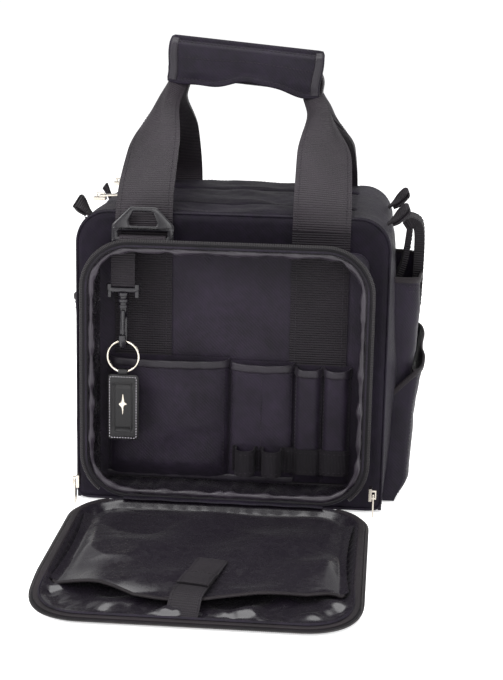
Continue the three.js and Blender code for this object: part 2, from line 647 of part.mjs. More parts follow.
function buildRightPockets() {
  const half = SIDE_POCKET_WIDTH / 2;
  const wall = POCKET_CLOTH;
  const near = HALF_WIDTH + GAP;
  const foot = 1;
  const over = 5;
  const skin = [[near, foot], ...pocketFace(0, foot, SIDE_POCKET_HEIGHT), [near, SIDE_POCKET_HEIGHT]];
  const room = [
    [near + wall, foot + wall],
    ...pocketFace(-wall, foot + wall, SIDE_POCKET_HEIGHT + over),
    [near + wall, SIDE_POCKET_HEIGHT + over],
  ];
  const outer = extrudeAlongY(polygon(skin), -half, half);
  const inside = extrudeAlongY(polygon(room), wall - half, half - wall);
  addMesh('right_pocket', cut(outer, inside), NYLON);

  const clear = GAP;
  const full = clear + SLIP_POCKET_DEPTH;
  const rear = SLIP_POCKET_REAR;
  const slipSkin = [...pocketFace(full, foot, rear), ...pocketFace(clear, foot, rear).reverse()];
  const slipRoom = [
    ...pocketFace(full - wall, foot + wall, rear + over),
    ...pocketFace(clear + wall, foot + wall, rear + over).reverse(),
  ];
  const slip = extrudeAlongY(polygon(slipSkin), -half, half);
  const slot = extrudeAlongY(polygon(slipRoom), wall - half, half - wall);
  const above = polygon([
    [-half - 1, SLIP_POCKET_FRONT], [half + 1, rear], [half + 1, rear + 20], [-half - 1, rear + 20],
  ]);
  const mouthCut = extrudeAlongX(above, HALF_WIDTH, HALF_WIDTH + 60);
  addMesh('slip_pocket', cut(slip, slot, mouthCut), NYLON);

  const mouth = near + SIDE_POCKET_PROUD + FIT + WEBBING / 2;
  const rise = SIDE_POCKET_HEIGHT + 18;
  const root = near + 1.4;
  const halfBand = CLOSURE_WIDTH / 2;
  const arch = root + 11;
  const archTop = rise + 25;
  const sewn = [[root, rise - 14], [root + 0.5, rise], [root + 5, rise + 17], [arch, archTop]];
  addMesh('closure_root', extrudeAlongY(ribbon(sewn, WEBBING), -halfBand, halfBand), WEB);
  const free = [
    [arch + 1.5, archTop + 0.7], [arch + 8, archTop + 1], [mouth - 3, rise + 15], [mouth, rise - 2],
    [mouth, SIDE_POCKET_HEIGHT - 34],
  ];
  addMesh('closure_strap', extrudeAlongY(ribbon(free, WEBBING), -halfBand, halfBand), WEB);
}

function buildLeftPocket() {
  const near = -HALF_WIDTH - GAP;
  const far = near - LEFT_POCKET_DEPTH;
  const half = SIDE_POCKET_WIDTH / 2;
  const outer = block(far, near, -half, half, 1, LEFT_POCKET_HEIGHT);
  const inside = block(
    far + POCKET_CLOTH, near - POCKET_CLOTH, POCKET_CLOTH - half, half - POCKET_CLOTH,
    1 + POCKET_CLOTH, LEFT_POCKET_HEIGHT + 2,
  );
  addMesh('left_pocket', cut(outer, inside), NYLON);
}

// ---------------------------------------------------------------- key strap, snap hook, ring and fob
function buildKeyHardware() {
  const half = KEY_STRAP_WIDTH / 2;
  const strap = block(KEY_X - half, KEY_X + half, KEY_Y - 1.1, KEY_Y + 1.1, KEY_STRAP_BOTTOM, KEY_STRAP_TOP);
  addMesh('key_strap', strap, WEB);

  // Swivel bracket: a bar below the webbing with an ear at each side and a socket for the barrel.
  const bracketTop = KEY_STRAP_BOTTOM - GAP;
  const ears = half + EAR_WIDTH;
  const bracket = join(
    block(KEY_X - ears, KEY_X + ears, KEY_Y - 2.4, KEY_Y + 2.4, bracketTop - 4, bracketTop),
    block(KEY_X - ears, KEY_X - half - GAP, KEY_Y - 2.4, KEY_Y + 2.4, bracketTop - 9, bracketTop + 4),
    block(KEY_X + half + GAP, KEY_X + ears, KEY_Y - 2.4, KEY_Y + 2.4, bracketTop - 9, bracketTop + 4),
  );
  addMesh('swivel_bracket', bracket, PLASTIC);

  // Barrel with two ribs, then a hook that opens to the front; the gate closes its mouth.
  const barrelTop = bracketTop - 4 - GAP;
  const barrelFoot = barrelTop - BARREL_LENGTH;
  const ring = (radius, z0, z1) => {
    const cylinder = new THREE.CylinderGeometry(radius, radius, z1 - z0, 12);
    cylinder.rotateX(Math.PI / 2);
    return moved(cylinder, KEY_X, KEY_Y, (z0 + z1) / 2);
  };
  const bar = HOOK_BAR;
  const spread = HOOK_SPREAD;
  const hookLow = HOOK_LOW;
  const hookLine = [
    [0, barrelFoot + 2], [0, barrelFoot - 3],
    [spread - bar / 2, barrelFoot - 8], [spread - bar / 2, hookLow + 7],
    [spread / 2, hookLow + bar / 2], [-spread / 2, hookLow + bar / 2], [bar / 2 - spread, hookLow + 7],
    [bar / 2 - spread, hookLow + 13],
  ];
  const hook = extrudeAlongX(ribbon(hookLine, bar), -HOOK_HALF, HOOK_HALF);
  hook.translate(KEY_X, KEY_Y, 0);
  const barrel = join(
    ring(BARREL_RADIUS, barrelFoot, barrelTop),
    ring(BARREL_RIB, barrelTop - 3.4, barrelTop),
    ring(BARREL_RIB, barrelTop - 9, barrelTop - 5.6),
    hook,
  );
  addMesh('snap_hook', barrel, PLASTIC);
  const gateLow = hookLow + 13 + FIT;
  const gate = polygon([
    [0.2 - spread, gateLow], [3.2 - spread, gateLow],
    [-bar / 2 - 0.4, barrelFoot - 3.4], [-bar / 2 - 2.2, barrelFoot - 1.4],
  ]);
  addMesh('hook_gate', moved(extrudeAlongX(gate, -2.2, 2.2), KEY_X, KEY_Y, 0), PLASTIC);

  // Split ring through the hook, leather fob below it.
  const wire = RING_WIRE / 2;
  const barReach = Math.hypot(HOOK_HALF, bar / 2) + 0.1;
  const ringZ = hookLow + bar / 2 - (RING_RADIUS - wire - barReach);
  const section = new THREE.Shape();
  section.absarc(0, 0, wire, 0, 2 * Math.PI);
  const profile = section.getPoints(2).slice(0, -1).map((p) => new THREE.Vector2(p.x + RING_RADIUS, p.y));
  const torus = new THREE.LatheGeometry([...profile, profile[0].clone()], 20);
  addMesh('split_ring', moved(torus, KEY_X, KEY_Y, ringZ), CHROME);

  // A leather loop round the ring's wire, with the fob's plate below it.
  const eye = wire + 0.8;
  const loop = new THREE.CylinderGeometry(eye + 1.4, eye + 1.4, 6, 12);
  const bore = new THREE.CylinderGeometry(eye, eye, 8, 12);
  loop.rotateZ(Math.PI / 2);
  bore.rotateZ(Math.PI / 2);
  const plateTop = -eye - 0.9;
  const plate = roundedRectangle(-FOB_WIDTH / 2, FOB_WIDTH / 2, plateTop - FOB_HEIGHT, plateTop, 2);
  const leather = extrudeAlongY(plate, -FOB_THICKNESS / 2, FOB_THICKNESS / 2);
  const fob = cut(join(loop, leather), bore);
  addMesh('key_fob', moved(fob, KEY_X, KEY_Y, ringZ - RING_RADIUS), LEATHER);
}

// ---------------------------------------------------------------- flap, open on the ground
// The flap is drawn flat, its hinge line on X at the origin, its free end towards -Y, its inside up.
function flapOutline(grow, hingeEdge = -FIT + Math.min(grow, 0)) {
  const half = FRAME_WIDTH / 2 + grow;
  const end = -(FRAME_HEIGHT + FLAP_OVERLAP) - grow;
  return roundedRectangle(-half, half, end, hingeEdge, FRAME_CORNER + grow);
}

function buildFlap() {
  const flap = new THREE.Group();
  const length = FRAME_HEIGHT + FLAP_OVERLAP + TAPE_WIDTH + GAP;
  flap.position.set(0, HINGE_Y, HINGE_Z);
  flap.rotation.x = Math.asin((HINGE_Z - FLAP_DEPTH - GAP) / length);
  group.add(flap);

  const tray = extrude(flapOutline(0), FLAP_DEPTH);
  const hollow = extrude(flapOutline(-FLAP_WALL), FLAP_DEPTH);
  hollow.translate(0, 0, FLAP_WALL);
  const shell = cut(tray, hollow);
  shell.translate(0, 0, -FLAP_DEPTH);
  addMesh('flap_panel', shell, NYLON, flap);

  const liningFoot = FLAP_WALL - FLAP_DEPTH + GAP;
  const lining = extrude(flapOutline(-FLAP_WALL - GAP), 1);
  lining.translate(0, 0, liningFoot);
  addMesh('flap_lining', lining, LINING, flap);

  const tape = extrude(flapOutline(TAPE_WIDTH + GAP), TAPE_THICKNESS);
  const within = extrude(flapOutline(GAP, TAPE_WIDTH), 3 * TAPE_THICKNESS);
  within.translate(0, 0, -TAPE_THICKNESS);
  const hingeSide = block(-HALF_WIDTH, HALF_WIDTH, -2 * FIT, 20, -5, 5);
  const flatTape = cut(tape, within, hingeSide);
  flatTape.translate(0, 0, -TAPE_THICKNESS - 1.2);
  addMesh('flap_zip', flatTape, ZIP, flap);

  const pocketFoot = liningFoot + 1 + GAP;
  const pocketHalf = FRAME_WIDTH / 2 - FLAP_POCKET_INSET;
  const sideMouth = -FLAP_POCKET_SIDE;
  const midMouth = -FLAP_POCKET_MIDDLE;
  const nearEdge = -FLAP_POCKET_NEAR;
  const corner = FRAME_CORNER - FLAP_POCKET_INSET;
  const plan = polygon([
    [corner - pocketHalf, nearEdge], [-pocketHalf, nearEdge - corner], [-pocketHalf, sideMouth],
    [-60, midMouth + 12], [0, midMouth], [60, midMouth + 12],
    [pocketHalf, sideMouth], [pocketHalf, nearEdge - corner], [pocketHalf - corner, nearEdge],
  ]);
  const wall = FLAP_POCKET_CLOTH;
  const height = -pocketFoot - 0.6;
  const outer = extrude(plan, height);
  const inner = pocketHalf - 2 * wall;
  const far = nearEdge - 2 * wall;
  const past = sideMouth + midMouth;
  const room = extrude(polygon([
    [corner - inner, far], [-inner, far - corner], [-inner, past],
    [inner, past], [inner, far - corner], [inner - corner, far],
  ]), height - 1.5 * wall);
  const pocket = cut(outer, moved(room, 0, 0, wall / 2));
  pocket.translate(0, 0, pocketFoot);
  addMesh('flap_pocket', pocket, LINING, flap);

  // Webbing tab that closes the pocket: sewn near the free end, its tip on the pocket.
  const tabRoot = -(FRAME_HEIGHT + FLAP_OVERLAP) + FLAP_WALL + 8;
  const above = 1.6;
  const line = [
    [tabRoot, pocketFoot + 1.4], [tabRoot + 8, -1], [tabRoot + 20, above], [-FLAP_TAB_TIP, above],
  ];
  const tab = extrudeAlongX(ribbon(line, TAB_THICKNESS), -FLAP_TAB_HALF, FLAP_TAB_HALF);
  addMesh('flap_tab', tab, WEB, flap);
}

buildBody();
buildTop();
buildFrame();
buildOrganizer();
buildStrapsOnPanels();
buildLegs();
buildGrip();
buildTriangle('front', -1, -1);
buildTriangle('rear', 1, 1);
buildTopSlider('front_zip', FRONT_ZIP_Y);
buildTopSlider('rear_zip', REAR_ZIP_Y);
buildFlapSlider(-1);
buildFlapSlider(1);
buildTabs();
buildRightPockets();
buildLeftPocket();
buildKeyHardware();
buildFlap();

export default group;
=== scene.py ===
"""A soft flight bag with its organizer compartment open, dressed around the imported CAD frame.

Every size in this file is in millimetres unless its name says otherwise; meshes are scaled to
metres as they are handed to Blender. X runs to the right, Y to the rear and Z up.
"""

import json
import logging
import math
from dataclasses import dataclass
from enum import Enum
from typing import Optional, Sequence

import bpy
import numpy as np
from mathutils import Matrix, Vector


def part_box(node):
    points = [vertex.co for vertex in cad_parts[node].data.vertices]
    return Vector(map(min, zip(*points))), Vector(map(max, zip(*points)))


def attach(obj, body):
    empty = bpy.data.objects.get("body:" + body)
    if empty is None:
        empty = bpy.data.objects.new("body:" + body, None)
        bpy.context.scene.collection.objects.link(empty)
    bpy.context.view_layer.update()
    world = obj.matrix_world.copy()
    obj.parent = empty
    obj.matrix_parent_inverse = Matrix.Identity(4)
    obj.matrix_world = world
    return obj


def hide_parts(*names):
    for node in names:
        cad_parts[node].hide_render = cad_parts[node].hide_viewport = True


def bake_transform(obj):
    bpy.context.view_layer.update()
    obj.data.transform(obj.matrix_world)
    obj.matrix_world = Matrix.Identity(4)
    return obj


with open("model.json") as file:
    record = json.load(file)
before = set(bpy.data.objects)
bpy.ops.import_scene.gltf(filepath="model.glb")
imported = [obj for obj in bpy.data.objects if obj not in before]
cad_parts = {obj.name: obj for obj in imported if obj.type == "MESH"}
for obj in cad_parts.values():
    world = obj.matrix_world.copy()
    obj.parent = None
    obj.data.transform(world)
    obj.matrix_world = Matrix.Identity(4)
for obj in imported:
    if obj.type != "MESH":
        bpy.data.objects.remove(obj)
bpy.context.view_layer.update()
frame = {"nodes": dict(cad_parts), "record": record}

Array = np.ndarray
Place = Sequence[float]
MM = 0.001
UP = (0.0, 0.0, 1.0)
DOWN = (0.0, 0.0, -1.0)
FRONT = (0.0, -1.0, 0.0)
REAR = (0.0, 1.0, 0.0)
LOG = logging.getLogger("flight_bag")


# ------------------------------------------------------------------------------ numbers and shapes
def node_box(node: str) -> tuple[Array, Array]:
    """Lowest and highest corner of a CAD node in millimetres."""
    low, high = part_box(node)
    return np.array(low) / MM, np.array(high) / MM


def joint_place(name: str) -> Array:
    """Where a joint of the frame stands at rest."""
    found = [j for j in frame["record"]["behaviour"]["joints"] if j["name"] == name]
    return np.array(found[0]["pos_m"]) / MM


def ramp(values: Array, low: float, high: float) -> Array:
    """Smooth step: 0 below low, 1 above high, cubic between them."""
    t = np.clip((values - low) / (high - low), 0.0, 1.0)
    return t * t * (3.0 - 2.0 * t)


def ripple(u: Array, v: Array, seed: int, wave: float, amount: float, waves: int = 7) -> Array:
    """Soft unevenness of cloth: a sum of plane waves of random heading, each bent by another.

    Args:
        u: first surface coordinate.
        v: second surface coordinate.
        seed: chooses the headings and phases.
        wave: mean wavelength.
        amount: about the greatest height.
        waves: how many waves are added.

    Returns:
        Heights with the shape of u.
    """
    draw = np.random.default_rng(seed)
    total = np.zeros(np.broadcast(u, v).shape)
    for _ in range(waves):
        heading = draw.uniform(0.0, math.tau)
        length = wave * draw.uniform(0.55, 1.7)
        phase, bend = draw.uniform(0.0, math.tau, 2)
        along = (u * math.cos(heading) + v * math.sin(heading)) / length * math.tau
        across = (v * math.cos(heading) - u * math.sin(heading)) / (2.3 * length) * math.tau
        total += np.sin(along + phase + 0.9 * np.sin(across + bend)) * length / wave
    return total * amount / (0.6 * waves)


def creases(u: Array, v: Array, seed: int, wave: float, amount: float, heading: float,
            spread: float = 0.6, waves: int = 5) -> Array:
    """Folded cloth: ridges of narrow crests, one minus the absolute sine, close to one heading.

    Args:
        u: first surface coordinate.
        v: second surface coordinate.
        seed: chooses phases and lengths.
        wave: mean distance between crests.
        amount: about the greatest height.
        heading: angle in radians across which the crests follow each other.
        spread: how far headings stray from it, in radians.
        waves: how many sets of ridges are added.

    Returns:
        Heights with the shape of u.
    """
    draw = np.random.default_rng(seed)
    total = np.zeros(np.broadcast(u, v).shape)
    for _ in range(waves):
        angle = heading + draw.uniform(-spread, spread)
        length = wave * draw.uniform(0.7, 1.8)
        phase, bend, reach = draw.uniform(0.0, math.tau, 3)
        along = (u * math.cos(angle) + v * math.sin(angle)) / length * math.pi
        across = (v * math.cos(angle) - u * math.sin(angle)) / length
        fade = 0.55 + 0.45 * np.sin(0.8 * across + reach)
        crest = 1.0 - np.abs(np.sin(along + phase + 0.7 * np.sin(0.9 * across + bend)))
        total += (crest ** 1.6 - 0.3) * fade
    return total * amount / (0.45 * waves)


def spline(points: Sequence[Sequence[float]], count: int) -> Array:
    """A smooth curve through points: Catmull-Rom pieces, evenly spaced by arc length.

    Args:
        points: rows of any number of values; the first three are a place.
        count: how many rows to return.

    Returns:
        An array of count rows.
    """
    p = np.array(points, float)
    p = np.vstack([2 * p[0] - p[1], p, 2 * p[-1] - p[-2]])
    t = np.linspace(0.0, 1.0, 24, endpoint=False)[None, :, None]
    a, b, c, d = p[:-3, None], p[1:-2, None], p[2:-1, None], p[3:, None]
    curve = 0.5 * (2 * b + (c - a) * t + (2 * a - 5 * b + 4 * c - d) * t**2
                   + (3 * b - a - 3 * c + d) * t**3)
    dense = np.vstack([curve.reshape(-1, p.shape[1]), p[-2]])
    return resample(dense, count)


def resample(points: Array, count: int, closed: bool = False) -> Array:
    """Rows evenly spaced by arc length along a polyline.

    Args:
        points: the polyline; its first three values are a place.
        count: how many rows to return.
        closed: the line returns to its start, which isn't repeated.

    Returns:
        An array of count rows.
    """
    line = np.vstack([points, points[:1]]) if closed else points
    steps = np.linalg.norm(np.diff(line[:, :3], axis=0), axis=1)
    reach = np.concatenate([[0.0], np.cumsum(steps)])
    at = np.linspace(0.0, reach[-1], count, endpoint=not closed)
    return np.stack([np.interp(at, reach, line[:, k]) for k in range(line.shape[1])], axis=1)


def kept_run(keep: Array) -> Array:
    """Numbers of the points of a closed outline that are kept, as one run in order.

    Args:
        keep: which points are kept.

    Returns:
        Their numbers.
    """
    start = int(np.argmax(keep & ~np.roll(keep, 1)))
    order = np.roll(np.arange(len(keep)), -start)
    return order[keep[order]]


def rounded_loop(x0: float, x1: float, z0: float, z1: float, low: float, high: float,
                 count: int) -> Array:
    """Closed outline of a rectangle with quarter circles at its corners, evenly spaced.

    Args:
        x0: left edge.
        x1: right edge.
        z0: lower edge.
        z1: upper edge.
        low: radius of the lower corners.
        high: radius of the upper corners.
        count: number of points.

    Returns:
        Points (count, 2), from the middle of the lower edge round by the right side.
    """
    quarter = np.linspace(0.0, math.pi / 2, 13)
    parts = [np.array([[(x0 + x1) / 2, z0]])]
    for cx, cz, radius, start in (
        (x1 - low, z0 + low, low, -math.pi / 2), (x1 - high, z1 - high, high, 0.0),
        (x0 + high, z1 - high, high, math.pi / 2), (x0 + low, z0 + low, low, math.pi),
    ):
        parts.append(np.stack([cx + radius * np.cos(start + quarter),
                               cz + radius * np.sin(start + quarter)], axis=1))
    line = np.vstack(parts)
    padded = np.column_stack([line, np.zeros(len(line))])
    return resample(padded, count, closed=True)[:, :2]


def plan_grid(columns: int, rows: int, x: tuple[float, float], z: tuple[float, float],
              low: float, high: float) -> tuple[Array, Array, Array]:
    """A grid whose border is a rectangle with round corners.

    Each ray from the centre to the edge of a square is shortened to meet the rounded outline.

    Args:
        columns: points across.
        rows: points along.
        x: left and right edge.
        z: lower and upper edge.
        low: radius of the lower corners.
        high: radius of the upper corners.

    Returns:
        x and z of each point, and how far out it is, from 0 at the centre to 1 on the outline.
    """
    a, b = spread((-1, 1, columns), (-1, 1, rows))
    out = np.maximum(np.abs(a), np.abs(b))
    safe = np.maximum(out, 1e-9)
    hw, hh = (x[1] - x[0]) / 2, (z[1] - z[0]) / 2
    qx, qz = np.abs(a) / safe * hw, np.abs(b) / safe * hh
    radius = np.where(b > 0, high, low)
    cx, cz = hw - radius, hh - radius
    dot, qq = qx * cx + qz * cz, qx**2 + qz**2
    root = np.sqrt(np.maximum(dot**2 - qq * (cx**2 + cz**2 - radius**2), 0.0))
    t = (dot + root) / np.maximum(qq, 1e-9)
    inside = (t * qx > cx) & (t * qz > cz) & (t < 1.0)
    scale = np.where(inside, t, 1.0)
    return ((x[0] + x[1]) / 2 + a * hw * scale, (z[0] + z[1]) / 2 + b * hh * scale, out)


def slopes(points: Array, wrap_u: bool, wrap_v: bool) -> tuple[Array, Array]:
    """Differences of a grid of points along its two parameters.

    Args:
        points: the grid (nu, nv, 3).
        wrap_u: it closes on itself along u.
        wrap_v: the same along v.

    Returns:
        The two grids of differences.
    """
    du = np.roll(points, -1, 0) - np.roll(points, 1, 0) if wrap_u else np.gradient(points, axis=0)
    dv = np.roll(points, -1, 1) - np.roll(points, 1, 1) if wrap_v else np.gradient(points, axis=1)
    return du, dv


def grid_normals(points: Array, wrap_u: bool = False, wrap_v: bool = False) -> Array:
    """Unit normals of a grid: the cross product of its two slopes.

    Args:
        points: the grid (nu, nv, 3).
        wrap_u: it closes on itself along u.
        wrap_v: the same along v.

    Returns:
        Vectors with the shape of the grid.
    """
    du, dv = slopes(points, wrap_u, wrap_v)
    normal = np.cross(du, dv)
    return normal / np.maximum(np.linalg.norm(normal, axis=2, keepdims=True), 1e-12)


def faced(points: Array, cell: tuple[int, int], way: Place, wrap_v: bool = False) -> Array:
    """A grid whose normal at one cell points a given way: its columns are reversed if need be."""
    against = grid_normals(points, False, wrap_v)[cell] @ np.asarray(way, float) < 0
    return points[:, ::-1] if against else points


def quads_of(index: Array, wrap_u: bool, wrap_v: bool) -> Array:
    """Four-cornered faces of a grid of vertex numbers.

    Args:
        index: the numbers (nu, nv).
        wrap_u: the grid closes on itself along u.
        wrap_v: the same along v.

    Returns:
        Faces (n, 4).
    """
    i = np.vstack([index, index[:1]]) if wrap_u else index
    i = np.hstack([i, i[:, :1]]) if wrap_v else i
    return np.stack([i[:-1, :-1], i[1:, :-1], i[1:, 1:], i[:-1, 1:]], axis=2).reshape(-1, 4)


def arc_uv(points: Array, wrap_u: bool, wrap_v: bool) -> Array:
    """Cloth coordinates of a grid: mean arc length along each parameter.

    Args:
        points: the grid (nu, nv, 3).
        wrap_u: it closes on itself along u.
        wrap_v: the same along v.

    Returns:
        Pairs in millimetres, one row or column more where the grid closes.
    """
    p = np.concatenate([points, points[:1]], 0) if wrap_u else points
    p = np.concatenate([p, p[:, :1]], 1) if wrap_v else p
    u = np.concatenate([[0.0], np.cumsum(np.linalg.norm(np.diff(p, axis=0), axis=2).mean(1))])
    v = np.concatenate([[0.0], np.cumsum(np.linalg.norm(np.diff(p, axis=1), axis=2).mean(0))])
    return pair(*np.meshgrid(u, v, indexing="ij"))


def spread(u: tuple[float, float, int], v: tuple[float, float, int]) -> tuple[Array, Array]:
    """Two grids of evenly spaced values; each range is its first value, its last and its count."""
    return tuple(np.meshgrid(np.linspace(*u), np.linspace(*v), indexing="ij"))


def lay(x: Array, y: Array, z: Array) -> Array:
    """Stack three coordinates, each a grid, a row or a number, into points."""
    return np.stack(np.broadcast_arrays(x, y, z), axis=-1).astype(float)


def pair(u: Array, v: Array) -> Array:
    """Stack two grids into cloth coordinates."""
    return np.stack(np.broadcast_arrays(u, v), axis=-1)


def inset_rows(y: Array, low: float, high: float) -> Array:
    """1 in the middle of a range, falling smoothly to 0 at its two ends."""
    t = np.clip((y - low) / (high - low), 0.0, 1.0)
    return 1.0 - (2.0 * t - 1.0) ** 6


def ribbon(line: Array, across: Array, columns: int) -> Array:
    """A grid that spreads a line of points to both sides."""
    v = np.linspace(-1, 1, columns)[None, :, None]
    return line[:, None] + v * (across if np.ndim(across) == 1 else across[:, None])


def crumpled(u: Array, v: Array, seed: int, soft: tuple[float, float],
             sharp: tuple[float, float, float], spread: float = 0.6, waves: int = 5) -> Array:
    """Ripples and creases together, the creases seeded two further on."""
    return ripple(u, v, seed, *soft) + creases(u, v, seed + 2, *sharp, spread, waves)


def path_frames(path: Array, up: Array, closed: bool = False) -> tuple[Array, Array, Array]:
    """Tangent, side and lift at each point of a path; side is tangent × up.

    Args:
        path: points (n, 3).
        up: one vector or one per point, roughly square to the path.
        closed: the path returns to its start.

    Returns:
        Three arrays of unit vectors.
    """
    step = np.roll(path, -1, 0) - np.roll(path, 1, 0) if closed else np.gradient(path, axis=0)
    tangent = step / np.linalg.norm(step, axis=1, keepdims=True)
    side = np.cross(tangent, np.broadcast_to(up, path.shape))
    side /= np.maximum(np.linalg.norm(side, axis=1, keepdims=True), 1e-9)
    return tangent, side, np.cross(side, tangent)


def capsule() -> tuple[Array, Array]:
    """A six-sided rod of unit length and radius along X with tapered ends: 22 small faces.

    Returns:
        Its vertices and faces.
    """
    angle = np.arange(6) / 6 * math.tau
    reach = np.array([-0.5, -0.34, 0.34, 0.5])[:, None]
    swell = np.array([0.35, 1.0, 1.0, 0.35])[:, None]
    points = np.stack([reach + 0 * angle, swell * np.cos(angle), swell * np.sin(angle)], axis=2)
    index = np.arange(24).reshape(4, 6)
    first, last = index[0], index[-1]
    quads = np.vstack([
        quads_of(index, False, True)[:, ::-1],
        first[[[0, 1, 2, 3], [0, 3, 4, 5]]],
        last[[[3, 2, 1, 0], [5, 4, 3, 0]]],
    ])
    return outward(points.reshape(-1, 3), quads)


def outward(verts: Array, quads: Array) -> tuple[Array, Array]:
    """A closed shape with its faces turned outwards: its signed volume is made positive.

    Args:
        verts: its vertices.
        quads: its faces.

    Returns:
        The vertices, and the faces as they were or reversed.
    """
    a, b, c, d = (verts[quads[:, k]] for k in range(4))
    volume = np.einsum("ij,ij->", a, np.cross(b, c)) + np.einsum("ij,ij->", a, np.cross(c, d))
    return verts, quads if volume >= 0 else quads[:, ::-1]


# ------------------------------------------------------------------------------------ finishes
class Weave(Enum):
    """What the surface is made of, which chooses its pattern."""

    TWILL = "twill"
    SATIN = "satin"
    RIB = "rib"
    GRAIN = "grain"
    MOULDED = "moulded"
    POLISHED = "polished"


@dataclass(frozen=True)
class Finish:
    """One procedural material.

    The pattern's pitch is in millimetres; relief is the depth of its bump in millimetres.
    """

    name: str
    weave: Weave
    colour: tuple[float, float, float]
    roughness: float
    pitch: float = 0.9
    relief: float = 0.12
    sheen: float = 0.0
    specular: float = 0.4
    metal: float = 0.0
    fade: float = 0.35
    tint: tuple[float, float, float] = (1.0, 1.0, 1.0)

    def material(self) -> bpy.types.Material:
        """The Blender material, made once and then shared."""
        return bpy.data.materials.get(self.name) or Graph(self).done()


class Graph:
    """Writes the nodes of one finish."""

    def __init__(self, finish: Finish) -> None:
        """Start a material with a Principled shader.

        Args:
            finish: what to write.
        """
        self.finish = finish
        self.mat = bpy.data.materials.new(finish.name)
        self.mat.use_nodes = True
        self.tree = self.mat.node_tree
        self.shader = self.tree.nodes["Principled BSDF"]

    def add(self, kind: str, settings: Optional[dict] = None, **sockets: object) -> bpy.types.Node:
        """Add a node.

        Args:
            kind: the node type.
            settings: attributes to set on it.
            sockets: inputs by name (underscores for spaces), each a value or another socket.

        Returns:
            The node.
        """
        node = self.tree.nodes.new(kind)
        for key, value in (settings or {}).items():
            setattr(node, key, value)
        for key, value in sockets.items():
            numbered = key[0] == "i" and key[1:].isdigit()
            socket = node.inputs[int(key[1:]) if numbered else key.replace("_", " ")]
            if isinstance(value, bpy.types.NodeSocket):
                self.tree.links.new(value, socket)
            else:
                socket.default_value = value
        return node

    def calc(self, operation: str, a: object, b: object = 0.0) -> bpy.types.NodeSocket:
        """One Math node."""
        return self.add("ShaderNodeMath", {"operation": operation}, i0=a, i1=b).outputs[0]

    def noise(self, where: object, scale: float, detail: float = 3.0) -> bpy.types.NodeSocket:
        """Noise of a given scale."""
        return self.add("ShaderNodeTexNoise", Vector=where, Scale=scale, Detail=detail).outputs[0]

    def span(self, value: object, low: float, high: float, to_low: float,
             to_high: float) -> bpy.types.NodeSocket:
        """A value mapped from one range to another."""
        return self.add("ShaderNodeMapRange", i0=value, i1=low, i2=high, i3=to_low, i4=to_high).outputs[0]

    def thread(self, value: object, turn: float) -> bpy.types.NodeSocket:
        """Rounded threads side by side: the absolute sine of a coordinate."""
        return self.calc("ABSOLUTE", self.calc("SINE", self.calc("MULTIPLY", value, turn)))

    def weigh(self, a: object, of_a: object, b: object, of_b: object) -> bpy.types.NodeSocket:
        """A weighted sum of two values."""
        return self.calc("ADD", self.calc("MULTIPLY", a, of_a), self.calc("MULTIPLY", b, of_b))

    def threads(self, u: object, v: object) -> bpy.types.NodeSocket:
        """Height of the weave from the cloth coordinates.

        Twill lays rounded warp threads over weft threads in diagonal steps. A rib is the
        absolute sine across the ribs, cut by finer threads. Satin is fine close threads.

        Args:
            u: coordinate along the cloth, in pitches.
            v: coordinate across it, in pitches.

        Returns:
            The height from 0 to 1.
        """
        warp = self.thread(u, math.pi)
        weft = self.thread(v, math.pi)
        if self.finish.weave is Weave.RIB:
            return self.weigh(warp, 0.75, self.thread(v, math.pi * 1.4), 0.25)
        if self.finish.weave is Weave.SATIN:
            return self.weigh(warp, 0.8, weft, 0.2)
        step = self.calc("SINE", self.calc("MULTIPLY", self.calc("ADD", u, v), math.pi / 2))
        over = self.span(step, -0.25, 0.25, 0.0, 1.0)
        under = self.calc("SUBTRACT", 1.0, over)
        return self.weigh(self.weigh(warp, over, weft, under), 0.7, over, 0.3)

    def height(self, spot: object) -> bpy.types.NodeSocket:
        """Height of the finish's pattern, by its weave.

        Args:
            spot: the object's own coordinates, for what isn't woven.

        Returns:
            The height from 0 to 1.
        """
        per = 1.0 / (self.finish.pitch * MM)
        if self.finish.weave in (Weave.TWILL, Weave.SATIN, Weave.RIB):
            cloth = self.add("ShaderNodeUVMap", {"uv_map": "cloth"}).outputs[0]
            split = self.add("ShaderNodeSeparateXYZ", Vector=cloth)
            u = self.calc("MULTIPLY", split.outputs[0], per)
            v = self.calc("MULTIPLY", split.outputs[1], per)
            return self.threads(u, v)
        if self.finish.weave is Weave.GRAIN:
            cells = self.add("ShaderNodeTexVoronoi", {"feature": "DISTANCE_TO_EDGE"}, Vector=spot, Scale=per)
            return self.span(cells.outputs[0], 0.0, 0.25, 0.0, 1.0)
        return self.noise(spot, per, 4.0)

    def colour(self, soft: object, dust: object, height: object) -> bpy.types.NodeSocket:
        """The finish's colour: paler where it is worn, with painted shade between its threads and a painted
        highlight on their crests.

        Args:
            soft: broad noise.
            dust: fine noise.
            height: the pattern.

        Returns:
            The colour.
        """
        f = self.finish
        random_tone = self.calc("ADD", self.span(soft, 0.3, 0.7, -f.fade, f.fade),
                          self.span(dust, 0.3, 0.75, -0.4 * f.fade, 0.5 * f.fade))
        # Painted shade in the grooves between threads and a painted highlight on their crests, by the
        # pattern's height; deep sets how dark the painted shade goes.
        deep = 0.4 if f.weave is Weave.SATIN else 0.6
        painted_thread_shade = self.span(height, 0.0, 0.8, -deep, 0.45 * deep) if f.metal < 0.5 else 0.0
        # bright scales the colour by the random tone plus the painted thread shade and highlight.
        bright = self.calc("ADD", self.calc("ADD", random_tone, painted_thread_shade), 1.0)
        base = tuple(f.colour) + (1.0,)
        worn = tuple(min(1.0, c * t) for c, t in zip(f.colour, f.tint)) + (1.0,)
        share = self.span(dust, 0.35, 0.7, 0.0, 1.0)
        mixed = self.add("ShaderNodeMix", {"data_type": "RGBA"}, i0=share, i6=base, i7=worn)
        scaled = self.add("ShaderNodeVectorMath", {"operation": "SCALE"}, i0=mixed.outputs[2], Scale=bright)
        return scaled.outputs[0]

